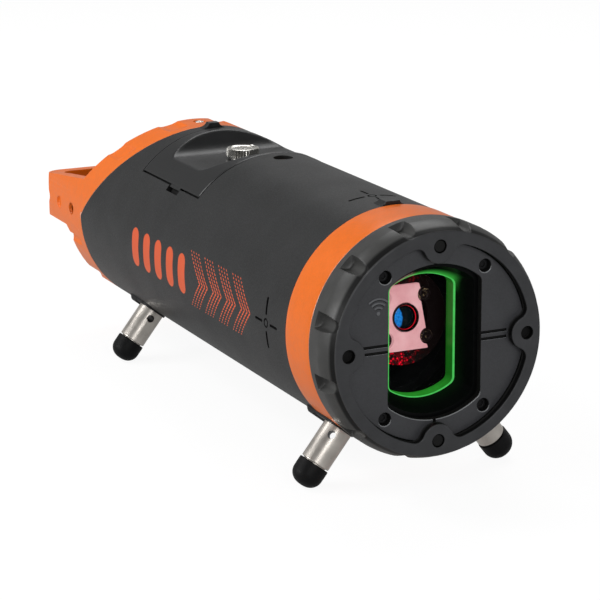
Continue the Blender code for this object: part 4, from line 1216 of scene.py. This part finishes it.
def build_boss(name, at, flip, under, step, reach):
    """A low collar round the leg with a raised pad behind it that slopes down at its end."""
    edge = [(-1, -6), (-1, -1), (-0.97, -0.35), (-0.90, -0.06), (-0.7, 0), (-0.35, 0)]
    profile = edge + [(0, 0)] + mirrored(edge)
    rows = []
    for run in (reach * k / 44 for k in range(45)):
        top = boss_height(run, step, reach)
        rows.append([(a * (COLLAR_R - 0.13), flip * run, top + drop) for a, drop in profile])
    boss = drawn("boss_" + name, capped, rows, at=at)
    collar = [(COLLAR_R, 54), (COLLAR_R, COLLAR_TOP - 0.5), (COLLAR_R - 0.15, COLLAR_TOP - 0.1),
              (COLLAR_R - 0.4, COLLAR_TOP - 0.02)]
    carve(boss, drawn("tool_boss_collar", turned, collar, SMALL, "Z", at=at), operation="UNION")
    seat = [(under - 0.1, -31.3), (under - 0.1, 31.7)]
    hole = [(LEG_R + 0.35, 40), (LEG_R + 0.35, 66)]
    carve(boss, drawn("tool_boss_seat", turned, seat, FINE, at=at),
          drawn("tool_boss_hole", turned, hole, SMALL, "Z", at=at))
    dress(boss, "boss", "leg_boss_" + name)


def build_leg(name, side, station, spin):
    """One screw-in leg with its cross hole, its rubber foot and the boss that holds it."""
    at, flip = leg_matrix(side, station)
    body = "leg_" + name + "_body"
    front = station < BAND_END
    under = BAND_R if front else TUBE_R
    step, reach = (13.9, 27) if front else (8, 21)
    build_boss(name, at, flip, under, step, reach)

    start = under + 0.2
    profile = [(LEG_R - 0.6, start), (LEG_R - 0.2, start + 0.15), (LEG_R, start + 0.5),
               (LEG_R, 75), (LEG_R, LEG_END - 0.6), (LEG_R - 0.2, LEG_END - 0.2),
               (LEG_R - 1.6, LEG_END), (LEG_R - 1.6, LEG_END + 6.2)]
    leg = drawn("leg_tube_" + name, turned, profile, SMALL, "Z", at=at)
    hole_at = at @ Matrix.Rotation(radians(spin), 4, "Z")
    hole = circle(LEG_HOLE_R, 32, (0, LEG_HOLE_AT))
    carve(leg, drawn("tool_leg_hole", prism, hole, -20, 20, "X", at=hole_at))
    soften_where(leg, 0.3, lambda p: abs(p.z - LEG_HOLE_AT) < 3
                 and hypot(p.x, p.y) > LEG_R - 0.1)
    # Painted shade: the walls inside the cross hole take the near-black steel.
    mark_faces(leg, lambda p, n: abs(p.z - LEG_HOLE_AT) < 2.2
               and hypot(p.x, p.y) < LEG_R - 0.4)
    dress(leg, ["nickel", "sunk_bolt"], "leg_" + name, body, sharp=35)

    profile = [(LEG_R - 1.2, LEG_END + 0.4), (FOOT_R - 0.5, LEG_END + 0.4),
               (FOOT_R - 0.12, LEG_END + 0.6), (FOOT_R, LEG_END + 1), (FOOT_R, FOOT_CENTRE - 1.5)]
    for bend in (radians(90 * k / 16) for k in range(1, 17)):
        wide = max(FOOT_R * cos(bend) ** 0.84, 0.3)
        profile.append((wide, FOOT_CENTRE + FOOT_DOME * sin(bend)))
    foot = drawn("foot_cap_" + name, turned, profile, SMALL, "Z", at=at)
    dress(foot, "rubber", "foot_" + name, body)


# ---------------------------------------------------------------- rear end
def cap_ring():
    """The rear cap's ring: its ends lean back above the axis, and grip notches run round it."""
    blocked = (0, 5)        # the handle's arms take the places of these notches
    stations = [0, 0.12, 0.35, CAP_EASE, 2, 4, 6, 8, 9]
    stations += [9 + 0.9 * k for k in range(1, 17)] + [24.2, 24.8, 25.2, 25.5, CAP_LEN]
    columns = notch_columns(TUBE_R, CAP_NOTCH_GROWTH)

    def point(r, turn, run):
        return polar(r, turn, CAP_START + run - max(r * sin(turn), 0))

    rows = []
    for run in stations:
        row = []
        near = max(CAP_EASE - min(run, CAP_LEN - run), 0)
        wall = TUBE_R - CAP_EASE + sqrt(max(CAP_EASE ** 2 - near ** 2, 0))
        for turn, offset, k in columns:
            reach = notch_reach(offset / CAP_NOTCH_GROWTH, CAP_LEN - run)
            floor = TUBE_R - CAP_NOTCH_DEPTH * (0 if k in blocked else reach)
            row.append(point(min(wall, floor), turn, run))
        rows.append(row)
    for run in (CAP_LEN, 0):
        rows.append([point(CAP_BORE, turn, run) for turn, _, _ in columns])
    bm = bmesh.new()
    skin(bm, rows, close=True)
    return solid("cap_ring", bm)


def carry_handle():
    """The U-shaped handle, cut from a bar of the cap's own roundness."""
    handle = drawn("carry_handle", turned, [(TUBE_R, 340), (TUBE_R, HANDLE_REAR)], FINE)
    side = [(352, -16), (376, -16), (380, -12), (417.5, -12), (417.5, 15),
            (411, 15), (356, 21.4), (350, 21.4)]
    carve(handle, drawn("tool_side", prism, side, -70, 70, "X"), operation="INTERSECT")
    half = CAP_BORE - 1.8
    inner = HANDLE_REAR - 7.5
    fillet = 8
    right = [(half, 395), *arc(fillet, 0, 90, 10, (half - fillet, inner - fillet))]
    bore = [(CAP_BORE, 330), (CAP_BORE, 401.5)]
    carve(handle, drawn("tool_bore", turned, bore, FINE),
          drawn("tool_grip", prism, right + mirrored(right), -40, 40, "Z"))
    bm = bmesh.new()
    r = HANDLE_CORNER
    for sign in (-1, 1):
        curve = arc(r, 0, 90, 14, (TUBE_R - r, HANDLE_REAR - r))
        curve += [(TUBE_R - r, 430), (75, 430), (75, HANDLE_REAR - r)]
        prism(bm, [(sign * x, y) for x, y in curve], -30, 30, "Z")
    carve(handle, solid("tool_corners", bm))
    return handle


def build_cap():
    """The orange rear cap with its grip notches, the cast handle and its screw."""
    ring, handle = cap_ring(), carry_handle()
    place = (0, CAP_SCREW_Y)
    sink = [(3.4, 57), (3.4, 60), (4.3, 61.2), (4.3, 70)]
    carve(ring, drawn("tool_cap_screw", turned, sink, 40, "Z", place))
    for item in (ring, handle):
        bm = bmesh.new()
        for sign in (-1, 1):
            for y, sunk in ((367.2, 1.5), (388.9, 1.5), (410.3, 2.3)):
                dimple = [(2.3, 0), (3.2, 0.4), (3.9, 1.5), (3.9, 6)]
                profile = [(r, sign * (TUBE_R - sunk + out)) for r, out in dimple]
                turned(bm, profile, 40, "X", (y, 0.7))
        carve(item, solid("tool_dimples", bm))
    soften(handle, 1.1, 35, 3)
    # The cap ring's front edge takes the pale orange as a painted highlight.
    mark_faces(ring, lambda p, n: hypot(p.x, p.z) > TUBE_R - 0.8
               and p.y + max(p.z, 0) < CAP_START + 0.5)
    for item in (ring, handle):
        dress(item, ["orange", "orange_edge_highlight"], "rear_cap")

    bm = bmesh.new()
    plate(bm, circle(2.7, 40, place), [circle(1.2, 6, place)], 58, 61, "Z", 0, 0.5)
    turned(bm, [(1.4, 58.2), (1.4, 59.9)], 20, "Z", place)
    dress(solid("cap_bolt", bm), "bright", "cap_screw")


LEAN = sqrt(0.5)
PANEL = moved(PANEL_Y) @ Matrix((
    (-1, 0, 0), (0, -LEAN, LEAN), (0, LEAN, LEAN))).transposed().to_4x4()
DISPLAY_AT = (0, 43.5)
MARK_LOW, MARK_HIGH = -0.55, -0.42
KEYS = {"power": (-23, 20.5), "grade": (0, 20.5), "line": (23, 20.5),
        "minus": (-23, 8.8), "enter": (0, 8.8), "plus": (23, 8.8)}
SEGMENTS_OF = {"0": "abcdef", "5": "acdfg", "7": "abc"}
SEGMENT_AT = {"a": (0, 1, 1), "g": (0, 0, 1), "d": (0, -1, 1), "b": (1, 0.5, 0),
              "c": (1, -0.5, 0), "f": (-1, 0.5, 0), "e": (-1, -0.5, 0)}


def legend(name):
    """Flat outlines of a key's generic symbol, each with its holes."""
    bar = [round_box(4.4, 0.9, 0.4, 3)]
    right = rounded([(0.9, -1.5), (3.3, 0), (0.9, 1.5)], 0.2)
    left = rounded([(-0.9, 1.5), (-3.3, 0), (-0.9, -1.5)], 0.2)
    return {
        "plus": [bar, [round_box(0.9, 4.4, 0.4, 3)]],
        "minus": [bar],
        "power": [[ring_part(1.9, 1.2, 125, 415, 24)],
                  [round_box(0.8, 2, 0.35, 3, (0, 1.5))]],
        "grade": [[rounded([(-2.8, -1.6), (2.8, -1.6), (2.8, 1.7)], 0.3)]],
        "line": [[right], [left]],
        "enter": [[circle(1.7, 32), circle(1, 32)]],
    }[name]


def digit(bm, figure, x, y, height):
    """A seven-segment figure."""
    half, wide, thick = height / 2, height * 0.5, height * 0.1
    for key in SEGMENTS_OF[figure]:
        side, up, flat = SEGMENT_AT[key]
        size = (wide - thick * 1.3, thick) if flat else (thick, half - thick * 1.3)
        centre = (x + side * wide / 2, y + up * half)
        plate(bm, round_box(*size, thick * 0.4, 2, centre), [], -0.66, -0.44, "Z", 0, 0)


def build_display():
    """The display's lit marks: a reading, a level scale and a battery sign."""
    bm = bmesh.new()

    def lit(outline, *holes):
        plate(bm, outline, list(holes), MARK_LOW, MARK_HIGH, "Z", 0, 0)

    for figure, x in (("7", -6.5), ("5", 2.5), ("0", 10.5)):
        digit(bm, figure, x, 46.5, 10)
    lit(circle(0.65, 20, (-2, 41.8)))
    lit(round_box(4.4, 0.9, 0.3, 2, (-15.5, 46.5)))
    lit(round_box(0.9, 4.4, 0.3, 2, (-15.5, 46.5)))
    for k in range(11):
        tall = 2.6 if k % 5 == 0 else 1.4
        lit(round_box(0.45, tall, 0.2, 2, (-20 + 4 * k, 34.6)))
    lit(rounded([(8.6, 38.6), (10, 36.6), (11.4, 38.6)], 0.2))
    battery = (22, 54)
    lit(round_box(7, 3.4, 0.6, 3, battery), round_box(6.2, 2.6, 0.4, 3, battery))
    for k in (-1, 0, 1):
        lit(round_box(1.3, 1.8, 0.2, 2, (battery[0] + 1.8 * k, battery[1])))
    dress(solid("display_marks", bm, PANEL), "digits", weighted=False)


def build_keys():
    """Six keycaps with raised legends."""
    shape = round_box(16.8, 8.2, 1.6)
    rows = [(shape, -2.2), (shape, 0.6)]
    for bend in (radians(18 * k) for k in range(1, 6)):
        rows.append((inset(shape, 0.9 * (1 - cos(bend))), 0.6 + 0.85 * sin(bend)))
    rows.append((inset(shape, 2.4), 1.56))
    for name, (x, y) in KEYS.items():
        at = PANEL @ Matrix.Translation((x * MM, y * MM, 0))
        body = "key_" + name + "_body"
        dress(drawn("keycap_" + name, filled, stack(rows, "Z"), at=at), "key", "key_" + name, body)
        bm = bmesh.new()
        for outlines in legend(name):
            plate(bm, outlines[0], outlines[1:], 1.50, 1.60, "Z", 0, 0)
        dress(solid("key_legend_" + name, bm, at), "legend", None, body, weighted=False)


def build_panel():
    """Control panel in the oblique rear end: bezel, lit display and six keys."""
    stretch = sqrt(2)
    rim = [(x, max(y * stretch, 1)) for x, y in arc(PANEL_R, 1, 179, 120)]
    holes = [round_box(60.4, 29.4, 2, 6, DISPLAY_AT)]
    holes += [round_box(17.6, 9, 1.8, 6, spot) for spot in KEYS.values()]
    bezel = drawn("panel_bezel", plate, rim, holes, -4, 0, "Z", 0, 0.5, at=PANEL)
    dress(bezel, "plate", "control_panel")
    pane = drawn("display_pane", plate, round_box(59.8, 28.8, 1.8, 6, DISPLAY_AT), [], -2.2, -0.5,
                 "Z", 0, 0.3, at=PANEL)
    dress(pane, "screen", "display_window")
    build_display()
    build_keys()


def build_rear_plate():
    """Lower rear plate with the charging socket and its flap."""
    edge = degrees(asin(3.2 / PANEL_R))
    rim = arc(PANEL_R, -180 + edge, -edge, 120)
    cover = drawn("rear_cover", plate, rim, [circle(9, SMALL, (0, -32))], 366, 370.5,
                  "Y", 0.2, 0.6)
    dress(cover, "plate", "rear_plate")
    bm = bmesh.new()
    lathe(bm, [(6, 363.5), (8.7, 363.5), (8.7, 369.6), (8.4, 370), (6.6, 370), (6.2, 369.7),
               (6, 369.2)], SMALL)
    turned(bm, [(6.5, 361), (6.5, 363.6)], SMALL)
    turned(bm, [(1.3, 363), (1.3, 367.6), (0.9, 368.2)], 24)
    dress(solid("socket_sleeve", bm, moved(0, -32)), "nickel", "charge_socket")
    bm = bmesh.new()
    outline = arc(11, 180, 360, 40, (0, -12))
    outline += [(11, -0.8), (10.2, 0), (-10.2, 0), (-11, -0.8)]
    plate(bm, outline, [], 0, 2.8, "Y", 0.2, 1.1)
    turned(bm, [(1.1, -9), (1.35, -8.6), (1.35, 8.6), (1.1, 9)], 24, "X", (1.4, -1.15))
    plate(bm, round_box(9, 2.4, 1.1, 5, (0, -19)), [], 2.4, 3.2, "Y", 0.1, 0.35)
    dress(solid("flap_cover", bm, moved(370.8, -20)), "rubber", "socket_flap", "flap")


# ---------------------------------------------------------------- laser head
def build_head():
    """The parts of the laser head that show through the window."""
    at = moved(PIVOT_Y) @ Matrix.Rotation(-radians(HEAD_TILT), 4, "X")
    half_h, half_low, half_high = 17, 11.7, 8.8
    bite_r, bite_x, bite_z = 4.2, 11.8, 10.8
    corner = 0.5
    line = arc(corner, -90, 0, 4, (half_low - corner, corner - half_h))
    for z in (-bite_z, bite_z):
        side = half_low + (half_high - half_low) * (z + half_h) / (2 * half_h)
        swing = degrees(acos((side - bite_x) / bite_r))
        line += arc(bite_r, 360 - swing, swing, 24, (bite_x, z))
    line += arc(corner, 0, 90, 4, (half_high - corner, half_h - corner))
    hole = circle(APERTURE_R + 0.3, 64)
    face = drawn("head_face", plate, line + mirrored(line), [hole], -39, -36.5, "Y", 0.3, 0.1,
                 at=at)
    dress(face, "satin", "head_plate", "laser_head")

    inner, outer = LENS_R, APERTURE_R
    sleeve = [(inner + 0.2, -33.5), (outer, -33.5), (outer, -39.2), (outer - 0.25, -39.5),
              (outer - 0.6, -39.5), (outer - 0.75, -39.2), (outer - 0.8, -38.6),
              (inner + 0.2, -37.4)]
    dress(drawn("aperture_sleeve", lathe, sleeve, 96, at=at), "gloss", "aperture_ring",
          "laser_head")
    rim = [(inner + 0.35, -37.7), (outer - 0.80, -38.3), (outer - 0.85, -38.5),
           (inner + 0.55, -38), (inner + 0.35, -37.8)]
    dress(drawn("aperture_rim", lathe, rim, 96, at=at), "red", None, "laser_head")
    dome = [(LENS_R, -34), (LENS_R, LENS_EDGE)]
    for bend in (radians(b) for b in (15, 30, 45, 60, 72, 82)):
        dome.append((LENS_R * cos(bend), LENS_EDGE - 1.1 * sin(bend)))
    dress(drawn("lens_dome", turned, dome, 64, at=at), "lens", "laser_lens", "laser_head",
          sharp=80)
    flange = [(14.3, -35.6), (24.6, -35.6), (25, -35.2), (25, -33), (14.3, -33)]
    dress(drawn("scatter_flange", lathe, flange, 96, at=at), "scatter", None, "laser_head")
    bm = bmesh.new()
    for spot in ((x, z) for x in (-bite_x, bite_x) for z in (-bite_z, bite_z)):
        plate(bm, circle(3.3, 32, spot), [circle(1.3, 6, spot)], -38.6, -35, "Y", 0.9, 0)
        turned(bm, [(1.5, -36.9), (1.5, -36)], 16, "Y", spot)
    dress(solid("head_bolts", bm, at), "head_bolt", None, "laser_head")


# ---------------------------------------------------------------- carried-over CAD nodes
def dress_cad():
    """Procedural finishes for the CAD nodes that stay as they are."""
    finishes = {
        "front_bulkhead": "gloss", "middle_bulkhead": "anodised", "gimbal_ring": "anodised",
        "laser_tube": "anodised", "grade_motor": "steel", "line_motor": "steel",
        "main_board": "circuit", "battery_tray": "bumper", "battery_pack": "rubber",
        "knob_stud": "steel",
    }
    for name, look in finishes.items():
        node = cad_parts[name]
        node.data.materials.clear()
        node.data.materials.append(LOOK[look][1])


# ---------------------------------------------------------------- studio
def place_new(name, data, location):
    """An object for a light or a camera."""
    item = bpy.data.objects.new(name, data)
    bpy.context.scene.collection.objects.link(item)
    item.location = location
    return item


def area_light(name, place, size, power):
    """A soft rectangular light that faces the middle of the object."""
    data = bpy.data.lights.new(name, "AREA")
    data.shape = "RECTANGLE"
    data.size, data.size_y = size
    data.energy = power
    item = place_new(name, data, place)
    ahead = Vector((0, 0, 0.08)) - item.location
    item.rotation_euler = ahead.to_track_quat("-Z", "Y").to_euler()


def build_floor():
    """A pale floor that the camera sees as near white."""
    reach = 6000
    floor = drawn("studio_floor", block, (-reach, -reach, -20), (reach, reach, 0),
                  at=Matrix.Identity(4))
    s = Surface("studio_pale", grey(0.90), 0.65, sheen=0)
    path = s.node("LightPath")
    seen, mirrored_ray = path.outputs["Is Camera Ray"], path.outputs["Is Glossy Ray"]
    s.colour(seen, s.mix(s.noise(900), grey(0.34), grey(0.36)), grey(0.13))
    s.set("Emission Color", (1, 1, 1, 1))
    lit = s.math("MULTIPLY_ADD", mirrored_ray, 0.22, s.ramp(seen, 0, 1, 0.04, 0.92))
    s.link(lit, s.shader.inputs["Emission Strength"])
    floor.data.materials.append(s.material)


def build_world():
    """A white sky, brighter low down than overhead."""
    world = bpy.data.worlds.new("studio")
    bpy.context.scene.world = world
    world.use_nodes = True
    tree = world.node_tree
    sky = tree.nodes["Background"]
    sky.inputs["Color"].default_value = (1, 1, 1, 1)
    place = tree.nodes.new("ShaderNodeTexCoord").outputs["Generated"]
    split = tree.nodes.new("ShaderNodeSeparateXYZ")
    tree.links.new(place, split.inputs[0])
    fall = tree.nodes.new("ShaderNodeMapRange")
    tree.links.new(split.outputs["Z"], fall.inputs["Value"])
    for socket, value in zip(("From Min", "From Max", "To Min", "To Max"), (0, 0.6, 0.5, 0.2)):
        fall.inputs[socket].default_value = value
    tree.links.new(fall.outputs["Result"], sky.inputs["Strength"])


def build_camera():
    """The camera at the photograph's angle."""
    data = bpy.data.cameras.new("camera")
    data.sensor_width = 36
    data.lens = 147
    data.clip_start, data.clip_end = 0.01, 50
    camera = place_new("camera", data, BEAM @ Vector((-0.5594, -1.0325, 0.3364)))
    yaw, pitch, roll = (radians(v) for v in (25.06, 14.95, -0.26))
    level = cos(pitch)
    ahead = Vector((sin(yaw) * level, cos(yaw) * level, -sin(pitch)))
    right = ahead.cross(Vector((0, 0, 1))).normalized()
    up = right.cross(ahead)
    sideways = right * cos(roll) + up * sin(roll)
    upwards = up * cos(roll) - right * sin(roll)
    camera.rotation_euler = Matrix((sideways, upwards, -ahead)).transposed().to_euler()
    bpy.context.scene.camera = camera
    bpy.context.scene.view_settings.view_transform = "Standard"


def build_studio():
    """Pale floor, soft lights and the camera."""
    build_floor()
    build_world()
    area_light("overhead", (0.54, 0.85, 1.50), (1.1, 0.7), 10)
    area_light("upper_left", (-1.05, 0.75, 1.35), (0.6, 0.5), 8)
    area_light("left", (-1.70, 0.10, 0.50), (0.7, 0.7), 12.5)
    area_light("front", (-0.30, -1.90, 0.80), (0.9, 0.7), 10)
    build_camera()


def main():
    """Build the looks round the frame."""
    build_bumper()
    build_band()
    build_face()
    build_window()
    build_tube()
    build_sights()
    build_door()
    build_knob()
    for name, side, station, spin in (
        ("front_left", -1, LEG_FRONT_Y, 127), ("front_right", 1, LEG_FRONT_Y, 100),
        ("rear_left", -1, LEG_REAR_Y, 97), ("rear_right", 1, LEG_REAR_Y, 70),
    ):
        build_leg(name, side, station, spin)
    build_cap()
    build_panel()
    build_rear_plate()
    build_head()
    dress_cad()
    build_studio()


main()
bpy.context.view_layer.update()
